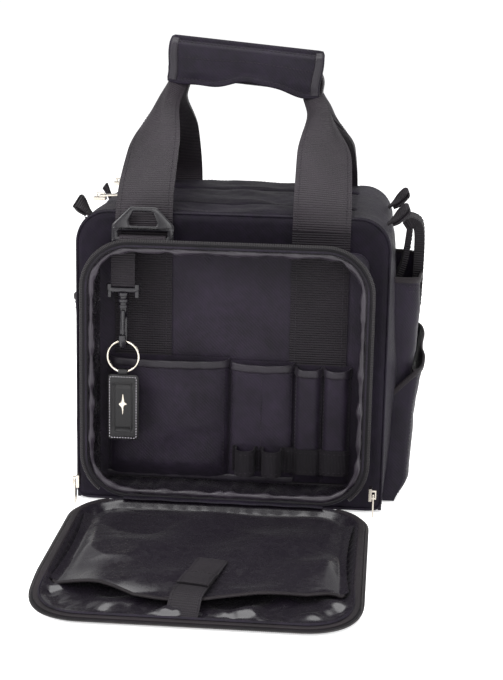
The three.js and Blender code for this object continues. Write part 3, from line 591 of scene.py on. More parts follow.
    def done(self) -> bpy.types.Material:
        """Write the nodes: pattern, colour variation, roughness and bump.

        Returns:
            The finished material.
        """
        f, inputs = self.finish, self.shader.inputs
        inputs["Metallic"].default_value = f.metal
        inputs["Specular IOR Level"].default_value = f.specular
        if f.sheen:
            inputs["Sheen Weight"].default_value = f.sheen
            inputs["Sheen Roughness"].default_value = 0.45
        spot = self.add("ShaderNodeTexCoord").outputs["Object"]
        soft = self.noise(spot, 22.0)
        dust = self.noise(spot, 160.0, 5.0)
        height = self.height(spot)
        self.tree.links.new(self.colour(soft, dust, height), inputs["Base Color"])
        rough = self.span(dust, 0.3, 0.75, f.roughness - 0.06, f.roughness + 0.06)
        self.tree.links.new(rough, inputs["Roughness"])
        bump = self.add("ShaderNodeBump", Strength=0.8, Distance=f.relief * MM, Height=height)
        fine = 0.05 if f.weave is Weave.SATIN else 0.35
        crumple = self.add("ShaderNodeBump", Strength=0.5, Distance=fine * f.relief * MM, Height=dust,
                           Normal=bump.outputs[0])
        self.tree.links.new(crumple.outputs[0], inputs["Normal"])
        return self.mat


NYLON = Finish("black_twill", Weave.TWILL, (0.0066, 0.0050, 0.0094), 0.56, 0.8, 0.2, 0.02, 0.14,
               tint=(1.3, 1.15, 1.3))
# A darker copy of the black twill: painted shade on the end panels, the lids and the top zips' folded edges.
SHADED_PANEL_NYLON = Finish("shaded_panel_twill", Weave.TWILL, (0.0044, 0.0031, 0.0066), 0.54, 0.8, 0.2, 0.015, 0.09,
                     tint=(1.3, 1.15, 1.3))
# A lighter copy of the black twill: painted frontal light on the organizer's back cloth and pocket fronts.
LIT_INNER_NYLON = Finish("lit_inner_twill", Weave.TWILL, (0.0105, 0.0078, 0.0138), 0.54, 0.8, 0.18, 0.03, 0.16,
                     tint=(1.2, 1.1, 1.2))
SATIN = Finish("satin_lining", Weave.SATIN, (0.0056, 0.0040, 0.0070), 0.27, 0.6, 0.012, 0.03, 0.62, fade=0.05)
# A lighter copy of the satin lining: painted light on the gathered roll inside the organizer's rim.
LIT_RUFFLED_SATIN = Finish("lit_ruffled_satin", Weave.SATIN, (0.0140, 0.0102, 0.0160), 0.36, 0.6, 0.03, 0.05, 0.4, fade=0.3)
WEBBING = Finish("ribbed_webbing", Weave.RIB, (0.0118, 0.0088, 0.0120), 0.52, 2.1, 0.5, 0.03, 0.22, fade=0.3)
# A darker copy of the ribbed webbing of the free legs: painted shade on webbing sewn flat, the tabs, the
# closure and the key strap.
SHADED_FLAT_WEBBING = Finish("shaded_flat_webbing", Weave.RIB, (0.0064, 0.0046, 0.0068), 0.55, 2.1, 0.5, 0.02, 0.18,
                      fade=0.3)
GROSGRAIN = Finish("grosgrain_binding", Weave.RIB, (0.0078, 0.0056, 0.0072), 0.56, 1.0, 0.22, 0.02, 0.18,
                   fade=0.3)
BINDING = Finish("bias_binding", Weave.SATIN, (0.0115, 0.0090, 0.0135), 0.40, 0.7, 0.08, 0.03, 0.26, fade=0.3)
ELASTIC = Finish("fine_elastic", Weave.RIB, (0.0056, 0.0044, 0.0062), 0.62, 1.3, 0.34, 0.02, 0.16)
ZIP_TAPE = Finish("zip_tape", Weave.TWILL, (0.0042, 0.0034, 0.0048), 0.6, 0.7, 0.12, 0.02, 0.15)
COIL = Finish("zip_coil", Weave.MOULDED, (0.0088, 0.0068, 0.0080), 0.34, 0.5, 0.02, 0.0, 0.4)
PLASTIC = Finish("satin_plastic", Weave.MOULDED, (0.0075, 0.0064, 0.0090), 0.30, 0.45, 0.03, 0.0, 0.42,
                 fade=0.2)
CHROME = Finish("warm_chrome", Weave.POLISHED, (0.55, 0.51, 0.45), 0.18, 2.2, 0.008, 0.0, 0.5, metal=1.0,
                fade=0.06, tint=(0.9, 0.88, 0.85))
LEATHER = Finish("black_leather", Weave.GRAIN, (0.0042, 0.0036, 0.0046), 0.38, 0.9, 0.06, 0.0, 0.34,
                 fade=0.25)
THREAD = Finish("dark_thread", Weave.MOULDED, (0.013, 0.010, 0.014), 0.5, 0.4, 0.03, 0.02, 0.2)
PALE_THREAD = Finish("pale_thread", Weave.MOULDED, (0.34, 0.32, 0.35), 0.55, 0.4, 0.03, 0.05, 0.3)
BOARD = Finish("stiff_board", Weave.MOULDED, (0.05, 0.05, 0.052), 0.7, 0.8, 0.04)


# ------------------------------------------------------------------------------------ mesh building
class Piece:
    """A mesh gathered from surfaces, tubes and repeated shapes, made into one object at the end."""

    def __init__(self, name: str) -> None:
        """Start an empty piece.

        Args:
            name: the object's name.
        """
        self.name = name
        self.verts: list[Array] = []
        self.quads: list[Array] = []
        self.uvs: list[Array] = []
        self.finishes: list[Finish] = []
        self.faces_finish: list[Array] = []
        self.count = 0

    def _store(self, verts: Array, quads: Array, corners: Array, finish: Finish) -> "Piece":
        """Keep one part of the mesh.

        Args:
            verts: its vertices.
            quads: its faces, numbered from its own first vertex.
            corners: cloth coordinates of each face's corners.
            finish: its finish.

        Returns:
            The piece.
        """
        if finish not in self.finishes:
            self.finishes.append(finish)
        self.verts.append(verts)
        self.quads.append(quads + self.count)
        self.uvs.append(corners)
        self.faces_finish.append(np.full(len(quads), self.finishes.index(finish)))
        self.count += len(verts)
        return self

    def _store_closed(self, verts: Array, faces: Sequence[Array], uvs: Sequence[Array],
                      finish: Finish) -> "Piece":
        """Keep a closed part with its faces turned outwards.

        Args:
            verts: its vertices.
            faces: groups of faces.
            uvs: cloth coordinates of the corners, group by group.
            finish: its finish.

        Returns:
            The piece.
        """
        quads, corners = np.vstack(faces), np.concatenate(uvs)
        _, turned = outward(verts, quads)
        return self._store(verts, turned, corners if turned is quads else corners[:, ::-1], finish)

    def shell(self, outer: Array, finish: Finish, thickness: object = 1.5, uv: Optional[Array] = None,
              wrap_u: bool = False, wrap_v: bool = False) -> "Piece":
        """Add a closed sheet: a grid, its copy moved inwards along the normals, and its rims.

        Args:
            outer: grid of points (nu, nv, 3) whose normals (u × v) point away from the thickness.
            finish: its finish.
            thickness: how far the second face lies behind the first; a number or a grid.
            uv: cloth coordinates (nu, nv, 2); mean arc lengths if none.
            wrap_u: the grid closes on itself along u.
            wrap_v: the same along v.

        Returns:
            The piece.
        """
        depth = np.asarray(thickness, float)
        depth = depth[..., None] if depth.ndim else depth
        inner = outer - grid_normals(outer, wrap_u, wrap_v) * depth
        nu, nv = outer.shape[:2]
        verts = np.vstack([outer.reshape(-1, 3), inner.reshape(-1, 3)])
        top = np.arange(nu * nv).reshape(nu, nv)
        low = top + nu * nv
        coords = arc_uv(outer, wrap_u, wrap_v) if uv is None else uv
        corner_index = np.arange(coords.shape[0] * coords.shape[1]).reshape(coords.shape[:2])
        flat = coords.reshape(-1, 2)
        corner_quads = quads_of(corner_index, False, False)
        face_quads = quads_of(top, wrap_u, wrap_v)
        faces = [face_quads, quads_of(low, wrap_u, wrap_v)[:, ::-1]]
        uvs = [flat[corner_quads], flat[corner_quads[:, ::-1]]]
        for along_u, wrapped, around in ((False, wrap_u, wrap_v), (True, wrap_v, wrap_u)):
            if wrapped:
                continue
            for end, swap in ((0, False), (-1, True)):
                near = top[:, end] if along_u else top[end]
                far = low[:, end] if along_u else low[end]
                pair = np.stack([far, near] if swap == along_u else [near, far])
                edge = coords[:, end] if along_u else coords[end]
                rim = quads_of(pair, False, around)
                first, second = edge[:len(rim)], edge[1:len(rim) + 1]
                faces.append(rim)
                uvs.append(np.stack([first, first, second, second], axis=1))
        return self._store_closed(verts, faces, uvs, finish)

    def tube(self, path: Array, profile: Array, finish: Finish, up: object = UP, closed: bool = False,
             swell: Optional[Array] = None) -> "Piece":
        """Add a profile carried along a path, capped at open ends.

        Args:
            path: points (n, 3).
            profile: closed outline (k, 2), k even, as (side, lift).
            finish: its finish.
            up: vector or vectors that the lift follows.
            closed: the path returns to its start.
            swell: scale of the profile at each point, or (n, 2) for each direction.

        Returns:
            The piece.
        """
        _, side, lift = path_frames(path, np.asarray(up, float), closed)
        scale = np.ones(1) if swell is None else np.asarray(swell)
        scale = np.broadcast_to(scale if scale.ndim == 2 else scale[:, None], (len(path), 2))
        points = (path[:, None] + side[:, None] * profile[None, :, :1] * scale[:, None, :1]
                  + lift[:, None] * profile[None, :, 1:] * scale[:, None, 1:])
        n, k = points.shape[:2]
        index = np.arange(n * k).reshape(n, k)
        faces = [quads_of(index, closed, True)]
        coords = arc_uv(points, closed, True)
        flat = coords.reshape(-1, 2)
        uvs = [flat[quads_of(np.arange(len(flat)).reshape(coords.shape[:2]), False, False)]]
        if not closed:
            strips = np.array([[i, i + 1, k - 2 - i, k - 1 - i] for i in range(k // 2 - 1)])
            faces += [index[0][strips][:, ::-1], index[-1][strips]]
            uvs += [profile[strips][:, ::-1], profile[strips]]
        return self._store_closed(points.reshape(-1, 3), faces, uvs, finish)

    def copies(self, centres: Array, tangent: Array, side: Array, lift: Array, size: Sequence[float],
               finish: Finish) -> "Piece":
        """Add a small tapered rod at each centre.

        Args:
            centres: places (n, 3).
            tangent: direction of each rod's length.
            side: direction of its first radius.
            lift: direction of its second radius.
            size: length and the two radii.
            finish: its finish.

        Returns:
            The piece.
        """
        base, quads = capsule()
        shaped = base * np.array(size)
        frames = np.stack([tangent, side, lift], axis=1)
        verts = np.einsum("vk,nkc->nvc", shaped, frames) + centres[:, None]
        handed = np.einsum("nc,nc->n", np.cross(tangent, side), lift)
        faces = quads[:, ::-1] if handed.mean() < 0 else quads
        every = (faces[None] + (np.arange(len(centres)) * len(base))[:, None, None]).reshape(-1, 4)
        return self._store(verts.reshape(-1, 3), every, np.zeros((len(every), 4, 2)), finish)

    @staticmethod
    def spaced(path: Array, up: object, pitch: float, closed: bool) -> tuple[Array, Array, Array, Array]:
        """Places along a path at about one pitch from each other.

        Args:
            path: points (n, 3).
            up: vector or vectors off the surface.
            pitch: distance from one place to the next.
            closed: the path returns to its start.

        Returns:
            The places, and the tangent, side and lift at each.
        """
        ring = np.vstack([path, path[:1]]) if closed else path
        total = np.linalg.norm(np.diff(ring, axis=0), axis=1).sum()
        ups = np.broadcast_to(np.asarray(up, float), path.shape)
        rows = resample(np.hstack([path, ups]), max(int(total / pitch), 2), closed)
        return rows[:, :3], *path_frames(rows[:, :3], rows[:, 3:], closed)

    def stitches(self, path: Array, up: object, finish: Finish = THREAD, length: float = 2.4,
                 pitch: float = 3.4, radius: float = 0.24, closed: bool = False) -> "Piece":
        """Add a row of stitches along a path."""
        places = self.spaced(path, up, pitch, closed)
        return self.copies(*places, (length, radius * 1.2, radius), finish)

    def seams(self, points: Array, lift: float, lines: Sequence[tuple], pitch: float = 3.4) -> "Piece":
        """Add rows of stitches along lines of a grid, a little off the cloth.

        Args:
            points: the grid (nu, nv, 3).
            lift: how far the stitches stand off it.
            lines: the two indices of each line in the grid, one of them a slice.
            pitch: distance from one stitch to the next.

        Returns:
            The piece.
        """
        normal = grid_normals(points)
        for line in lines:
            self.stitches(points[line] + lift * normal[line], normal[line], pitch=pitch)
        return self

    def teeth(self, path: Array, up: object, width: float = 3.2, pitch: float = 1.45,
              radius: float = 0.55) -> "Piece":
        """Add a zip's coil: a leaning rod across the path at each turn of the coil.

        Args:
            path: middle of the coil.
            up: vector or vectors off the tape.
            width: of the coil.
            pitch: from one turn to the next.
            radius: of the nylon.

        Returns:
            The piece.
        """
        centres, tangent, side, lift = self.spaced(path, up, pitch, False)
        lean = side + 0.16 * tangent
        lean /= np.linalg.norm(lean, axis=1, keepdims=True)
        ahead = np.cross(lift, lean)
        return self.copies(centres, lean, -ahead, lift, (width, radius, radius * 1.1), COIL)

    def build(self, body: str, slot: str, replaces: Sequence[str] = (),
              sharp: float = 42.0) -> bpy.types.Object:
        """Make the object, give it its body and hide the CAD nodes it stands for.

        Args:
            body: the body that it rides on; empty if it rides on none.
            slot: the record's material slot; not used.
            replaces: CAD nodes.
            sharp: edges sharper than this many degrees aren't smoothed.

        Returns:
            The object.
        """
        verts = np.vstack(self.verts) * MM
        quads = np.vstack(self.quads)
        uvs = np.concatenate(self.uvs) * MM
        mesh = bpy.data.meshes.new(self.name)
        mesh.vertices.add(len(verts))
        mesh.vertices.foreach_set("co", verts.astype(np.float32).ravel())
        mesh.loops.add(quads.size)
        mesh.loops.foreach_set("vertex_index", quads.astype(np.int32).ravel())
        mesh.polygons.add(len(quads))
        mesh.polygons.foreach_set("loop_start", np.arange(0, quads.size, 4, dtype=np.int32))
        mesh.polygons.foreach_set("material_index", np.concatenate(self.faces_finish).astype(np.int32))
        mesh.update(calc_edges=True)
        layer = mesh.uv_layers.new(name="cloth")
        layer.data.foreach_set("uv", uvs.astype(np.float32).ravel())
        for finish in self.finishes:
            mesh.materials.append(finish.material())
        mesh.validate()
        mesh.polygons.foreach_set("use_smooth", np.ones(len(mesh.polygons), bool))
        mesh.set_sharp_from_angle(angle=math.radians(sharp))
        obj = link(bpy.data.objects.new(self.name, mesh))
        if body:
            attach(obj, body)
        if replaces:
            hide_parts(*replaces)
        LOG.info("%s: %d faces on %s", self.name, len(quads), body or "two bodies")
        return obj


def link(obj: bpy.types.Object, axes: Optional[Sequence[Array]] = None) -> bpy.types.Object:
    """Put an object in the scene.

    Args:
        obj: the object.
        axes: its X, Y and Z axes and its place in metres; the origin if none.

    Returns:
        The object.
    """
    if axes is not None:
        matrix = Matrix.Identity(4)
        for column, axis in enumerate(axes):
            for row in range(3):
                matrix[row][column] = float(axis[row])
        obj.matrix_world = matrix
    bpy.context.scene.collection.objects.link(obj)
    return obj
def oval(half_side: float, half_lift: float, count: int = 12, power: float = 2.0) -> Array:
    """Outline of a superellipse: |s/a|^p + |l/b|^p = 1.

    Args:
        half_side: half its size across.
        half_lift: half its height.
        count: points, an even number.
        power: 2 is an ellipse; more is squarer.

    Returns:
        Points (count, 2).
    """
    t = (np.arange(count) + 0.5) / count * math.tau
    c, s = np.cos(t), np.sin(t)
    return np.stack([half_side * np.sign(c) * np.abs(c) ** (2 / power),
                     half_lift * np.sign(s) * np.abs(s) ** (2 / power)], axis=1)


# ------------------------------------------------------------------------------------ the studio
@dataclass
class Studio:
    """Camera, lights and floor. Places and lengths are in metres, save the camera's."""

    place: tuple[float, float, float] = (134.494, -1455.084, 469.717)
    yaw: float = 0.0859846
    pitch: float = 0.229734
    roll: float = 0.0197562
    focal_over_height: float = 1588.726 / 680.0
    sensor: float = 36.0
    background: float = 1.05
    ambient: float = 0.5
    floor_half: float = 6.0
    floor_drop: float = 0.0006
    floor_glow: float = 0.56

    def build(self) -> None:
        """Make the camera, the lights, the world and the floor."""
        self.camera()
        self.area("overhead", (0.0, -0.2, 2.0), (0.0, -0.2, 0.0), 2.4, 62.0)
        self.area("left", (-1.3, -1.3, 1.2), (0.0, -0.1, 0.15), 1.0, 30.0)
        self.area("right", (1.5, -0.7, 0.8), (0.0, -0.1, 0.15), 0.9, 9.0)
        self.area("front", (0.15, -2.3, 0.75), (0.0, -0.1, 0.12), 1.1, 18.0)
        self.world()
        self.floor()

    def camera(self) -> None:
        """Aim the camera by yaw, pitch and roll."""
        ahead = np.array([-math.sin(self.yaw) * math.cos(self.pitch),
                          math.cos(self.yaw) * math.cos(self.pitch), -math.sin(self.pitch)])
        level = np.cross(ahead, UP)
        level /= np.linalg.norm(level)
        upright = np.cross(level, ahead)
        right = math.cos(self.roll) * level + math.sin(self.roll) * upright
        up = -math.sin(self.roll) * level + math.cos(self.roll) * upright
        data = bpy.data.cameras.new("camera")
        data.sensor_fit = "VERTICAL"
        data.sensor_height = self.sensor
        data.lens = self.focal_over_height * self.sensor
        data.clip_end = 30.0
        axes = (right, up, -ahead, np.array(self.place) * MM)
        bpy.context.scene.camera = link(bpy.data.objects.new("camera", data), axes)

    def area(self, name: str, place: Place, aim: Place, size: float, watts: float) -> None:
        """Add a square soft light.

        Args:
            name: its name.
            place: where it stands.
            aim: what it looks at.
            size: its side.
            watts: its power.
        """
        data = bpy.data.lights.new(name, "AREA")
        data.size, data.energy = size, watts
        back = np.array(place, float) - np.array(aim, float)
        back /= np.linalg.norm(back)
        side = np.cross(UP, back)
        tall = np.linalg.norm(side)
        side = side / tall if tall > 1e-6 else np.array([1.0, 0.0, 0.0])
        axes = (side, np.cross(back, side), back, np.array(place, float))
        link(bpy.data.objects.new(name, data), axes)

    def world(self) -> None:
        """A white room: bright to the camera, dimmer where it lights the bag."""
        world = bpy.data.worlds.new("pale_room")
        world.use_nodes = True
        tree = world.node_tree
        seen = tree.nodes["Background"]
        lit = tree.nodes.new("ShaderNodeBackground")
        for node, strength in ((seen, self.background), (lit, self.ambient)):
            node.inputs[0].default_value = (1.0, 1.0, 1.0, 1.0)
            node.inputs[1].default_value = strength
        rays = tree.nodes.new("ShaderNodeLightPath")
        mix = tree.nodes.new("ShaderNodeMixShader")
        tree.links.new(rays.outputs["Is Camera Ray"], mix.inputs[0])
        tree.links.new(lit.outputs[0], mix.inputs[1])
        tree.links.new(seen.outputs[0], mix.inputs[2])
        tree.links.new(mix.outputs[0], tree.nodes["World Output"].inputs[0])
        bpy.context.scene.world = world
        bpy.context.scene.view_settings.view_transform = "Standard"

    def floor(self) -> None:
        """A wide pale floor just under the bag."""
        half, drop = self.floor_half, -self.floor_drop
        mesh = bpy.data.meshes.new("floor")
        corners = [(-half, -half, drop), (half, -half, drop), (half, half, drop), (-half, half, drop)]
        mesh.from_pydata(corners, [], [(0, 1, 2, 3)])
        mat = bpy.data.materials.new("pale_floor")
        mat.use_nodes = True
        inputs = mat.node_tree.nodes["Principled BSDF"].inputs
        inputs["Base Color"].default_value = (0.93, 0.93, 0.935, 1.0)
        inputs["Roughness"].default_value = 0.8
        inputs["Specular IOR Level"].default_value = 0.1
        inputs["Emission Color"].default_value = (1.0, 1.0, 1.0, 1.0)
        inputs["Emission Strength"].default_value = self.floor_glow
        mesh.materials.append(mat)
        link(bpy.data.objects.new("floor", mesh))


# ------------------------------------------------------------------------------------ main body
@dataclass
class MainBody:
    """Padded walls, lids, their seams and the two zips on top."""

    cloth: float = 3.0
    shoulder: float = 28.0
    foot_corner: float = 7.0
    edge_roll: float = 3.2
    piping: float = 1.15
    puff: float = 3.0
    right_puff: float = 9.0
    seam_groove: float = 1.1
    lid_crown: float = 2.2
    coil_width: float = 3.6

    def build(self) -> None:
        """Make every piece of the body."""
        self.end_panel("front_panel", -1.0, 11)
        self.end_panel("rear_panel", 1.0, 12)
        self.gusset("left_gusset", -1.0, 13)
        self.gusset("right_gusset", 1.0, 14)
        self.lid("front_lid", "front_lid", ("front_lid",), 15)
        self.lid("main_lid", "main_lid", ("main_lid",), 16)
        self.lid("rear_top_panel", "bag", ("rear_top_panel",), 17)
        self.top_zip("front_zip_coil", "front_zip", ("front_zip",))
        self.top_zip("rear_zip_coil", "rear_top_panel", ())
        self.base()
        self.divider()

    def end_panel(self, node: str, facing: float, seed: int) -> None:
        """A padded end wall: a rounded plan whose face crowns and whose edge rolls back.

        Args:
            node: the CAD node it stands for.
            facing: -1 for the front, 1 for the rear.
            seed: of its unevenness.
        """
        low, high = node_box(node)
        x, z, out = plan_grid(97, 97, (low[0], high[0]), (low[2] - 1.5, high[2] + 2.6),
                              self.foot_corner, self.shoulder)
        face = high[1] if facing > 0 else -low[1]
        crown = 0.9 * (1.0 - out**4) - self.edge_roll * ramp(out, 0.955, 1.0) ** 2
        soft = ripple(x, z, seed, 90.0, 0.8) + ripple(x, z, seed + 40, 34.0, 0.25)
        puckers = 0.5 * ramp(out, 0.90, 0.94) * np.abs(ripple(x, z, seed + 44, 18.0, 1.0))
        crown -= self.seam_groove * np.exp(-((out - 0.925) / 0.007) ** 2) + puckers
        limit = 1.6 if facing > 0 else 0.15
        points = lay(x, facing * (face + np.minimum(crown + soft * (1.0 - out**10), limit)), z)
        if facing > 0:
            points = points[::-1]
        piece = Piece(node + "_cloth")
        piece.shell(points, SHADED_PANEL_NYLON, self.cloth, uv=points[..., [0, 2]])
        loop = rounded_loop(low[0] + 0.6, high[0] - 0.6, low[2] - 0.4, high[2] + 2.0,
                            self.foot_corner, self.shoulder, 260)
        welt = lay(loop[:, 0], facing * (face - 2.4), loop[:, 1])
        piece.tube(welt, oval(self.piping, self.piping, 10), NYLON, up=(0, facing, 0), closed=True)
        obj = piece.build("bag", "nylon", (node,))

    def gusset(self, node: str, side: float, seed: int) -> None:
        """A side wall carried over the shoulder: straight up, a quarter circle, then inwards.

        It swells between its seams by the sine of its length, with soft hollows.

        Args:
            node: the CAD node.
            side: -1 left, 1 right.
            seed: of its unevenness.
        """
        low, high = node_box(node)
        reach, top = max(abs(low[0]), abs(high[0])), high[2]
        inner = min(abs(low[0]), abs(high[0]))
        arc = np.linspace(0.0, math.pi / 2, 18)
        r = self.shoulder
        line = np.vstack([
            [[reach, 0.0, low[2] - 1.0]], [[reach, 0.0, top - r - 6.0]],
            np.stack([reach - r + r * np.cos(arc), 0 * arc, top - r + r * np.sin(arc)], axis=1),
            [[inner, 0.0, top]],
        ])
        profile = resample(line, 90)
        tangent = np.gradient(profile, axis=0)
        normal = np.stack([tangent[:, 2], 0 * tangent[:, 0], -tangent[:, 0]], axis=1)
        normal /= np.linalg.norm(normal, axis=1, keepdims=True)
        y = np.linspace(low[1] - 1.5, high[1] + 1.5, 70)
        along = np.linspace(0.0, 1.0, 90)[:, None]
        shape = inset_rows(y, y[0], y[-1])[None, :] * (1.0 - (2 * along - 1.0) ** 8)
        s, t = np.meshgrid(np.linspace(0, 330, 90), y, indexing="ij")
        puff = self.puff if side < 0 else self.right_puff
        belly = (0.55 + 0.45 * np.sin(along * math.pi)) * np.sin(np.clip(along * 1.25, 0, 1) * math.pi) ** 0.5
        loose = ripple(s, t, seed, 70.0, 1.2) + creases(s, t, seed + 5, 60.0, 1.0, 0.2)
        swell = puff * shape * belly + shape * loose
        points = profile[:, None] + normal[:, None] * swell[..., None]
        points[..., 1] += y[None]
        points[..., 0] *= side
        if side > 0:
            points = points[:, ::-1]
        piece = Piece(node + "_cloth").shell(points, NYLON, self.cloth)
        piece.build("bag", "nylon", (node,))

    def lid(self, node: str, body: str, nodes: Sequence[str], seed: int) -> None:
        """A padded strip of the top between two seams, crowned along and across.

        Args:
            node: the CAD node that gives its place.
            body: what it rides on.
            nodes: CAD nodes it stands for.
            seed: of its unevenness.
        """
        low, high = node_box(node)
        if node == "rear_top_panel":
            low[1] += 4.6
            high[2] -= 1.0
        x, y = spread((low[0] - 1.0, high[0] + 1.0, 110), (low[1] - 0.2, high[1] + 0.4, 46))
        across = inset_rows(y, low[1], high[1])
        ends = inset_rows(x, low[0] - 1.0, high[0] + 1.0)
        soft = (ripple(x, y, seed, 48.0, 1.3) + creases(x, y, seed + 3, 36.0, 1.3, 1.35, 0.5)
                + ripple(x, y, seed + 6, 20.0, 0.3))
        z = high[2] - 0.9 + (0.9 + self.lid_crown * ends) * across ** 0.7 + across * ends * soft
        points = lay(x, y, z)
        piece = Piece(node + "_cloth").shell(points, SHADED_PANEL_NYLON, self.cloth, uv=points[..., :2])
        for column in (3, -4):
            piece.stitches(points[2:-2, column] + np.array([0, 0, 0.15]), UP)
        piece.build(body, "nylon", nodes)

    def top_zip(self, name: str, node: str, nodes: Sequence[str]) -> None:
        """A zip on the top: two tapes with folded cloth edges and the coil between them.

        Its ends dive under the shoulder.

        Args:
            name: the piece's name.
            node: the CAD node that gives its place.
            nodes: CAD nodes it stands for.
        """
        low, high = node_box(node)
        middle = low[1] + 2.0 if node == "rear_top_panel" else (low[1] + high[1]) / 2
        x = np.linspace(low[0] - 14.0, high[0] + 14.0, 90)
        drop = -4.4 * ramp(np.abs(x), 100.0, 114.0)
        path = lay(x, middle, high[2] - 1.4 + drop)
        piece = Piece(name)
        piece.tube(path, oval(6.0, 0.5, 12, 4.0), ZIP_TAPE)
        piece.teeth(path + np.array([0, 0, 0.8]), UP, width=self.coil_width)
        for side in (-1.0, 1.0):
            piece.tube(path + np.array([0.0, side * 3.4, 1.1]), oval(1.5, 0.9, 10), SHADED_PANEL_NYLON)
        piece.build("bag", "zip", nodes)

    def base(self) -> None:
        """The base panel's cloth with a line of stitches inside its edge."""
        low, high = node_box("base_panel")
        x, y, out = plan_grid(61, 61, (low[0], high[0]), (low[1], high[1]), 14.0, 14.0)
        z = low[2] + 1.2 * ramp(out, 0.96, 1.0) ** 2
        points = lay(x, y, z)[::-1]
        piece = Piece("base_panel_cloth").shell(points, NYLON, 2.0, uv=points[..., :2])
        loop = rounded_loop(low[0] + 4, high[0] - 4, low[1] + 4, high[1] - 4, 12, 12, 200)
        piece.stitches(lay(loop[:, 0], loop[:, 1], low[2] + 0.1), DOWN, closed=True)
        piece.build("bag", "nylon", ("base_panel",))

    def divider(self) -> None:
        """The satin divider between the two compartments."""
        low, high = node_box("compartment_divider")
        x, z, out = plan_grid(61, 61, (low[0] + 1, high[0] - 1), (low[2], high[2]), 2.0, 25.0)
        y = low[1] + 0.5 + crumpled(x, z, 31, (70.0, 1.3), (80.0, 1.2, 0.3)) * (1 - out**8)
        points = lay(x, y, z)
        piece = Piece("divider_cloth").shell(points, SATIN, 1.4, uv=points[..., [0, 2]])
        piece.build("bag", "lining", ("compartment_divider",))


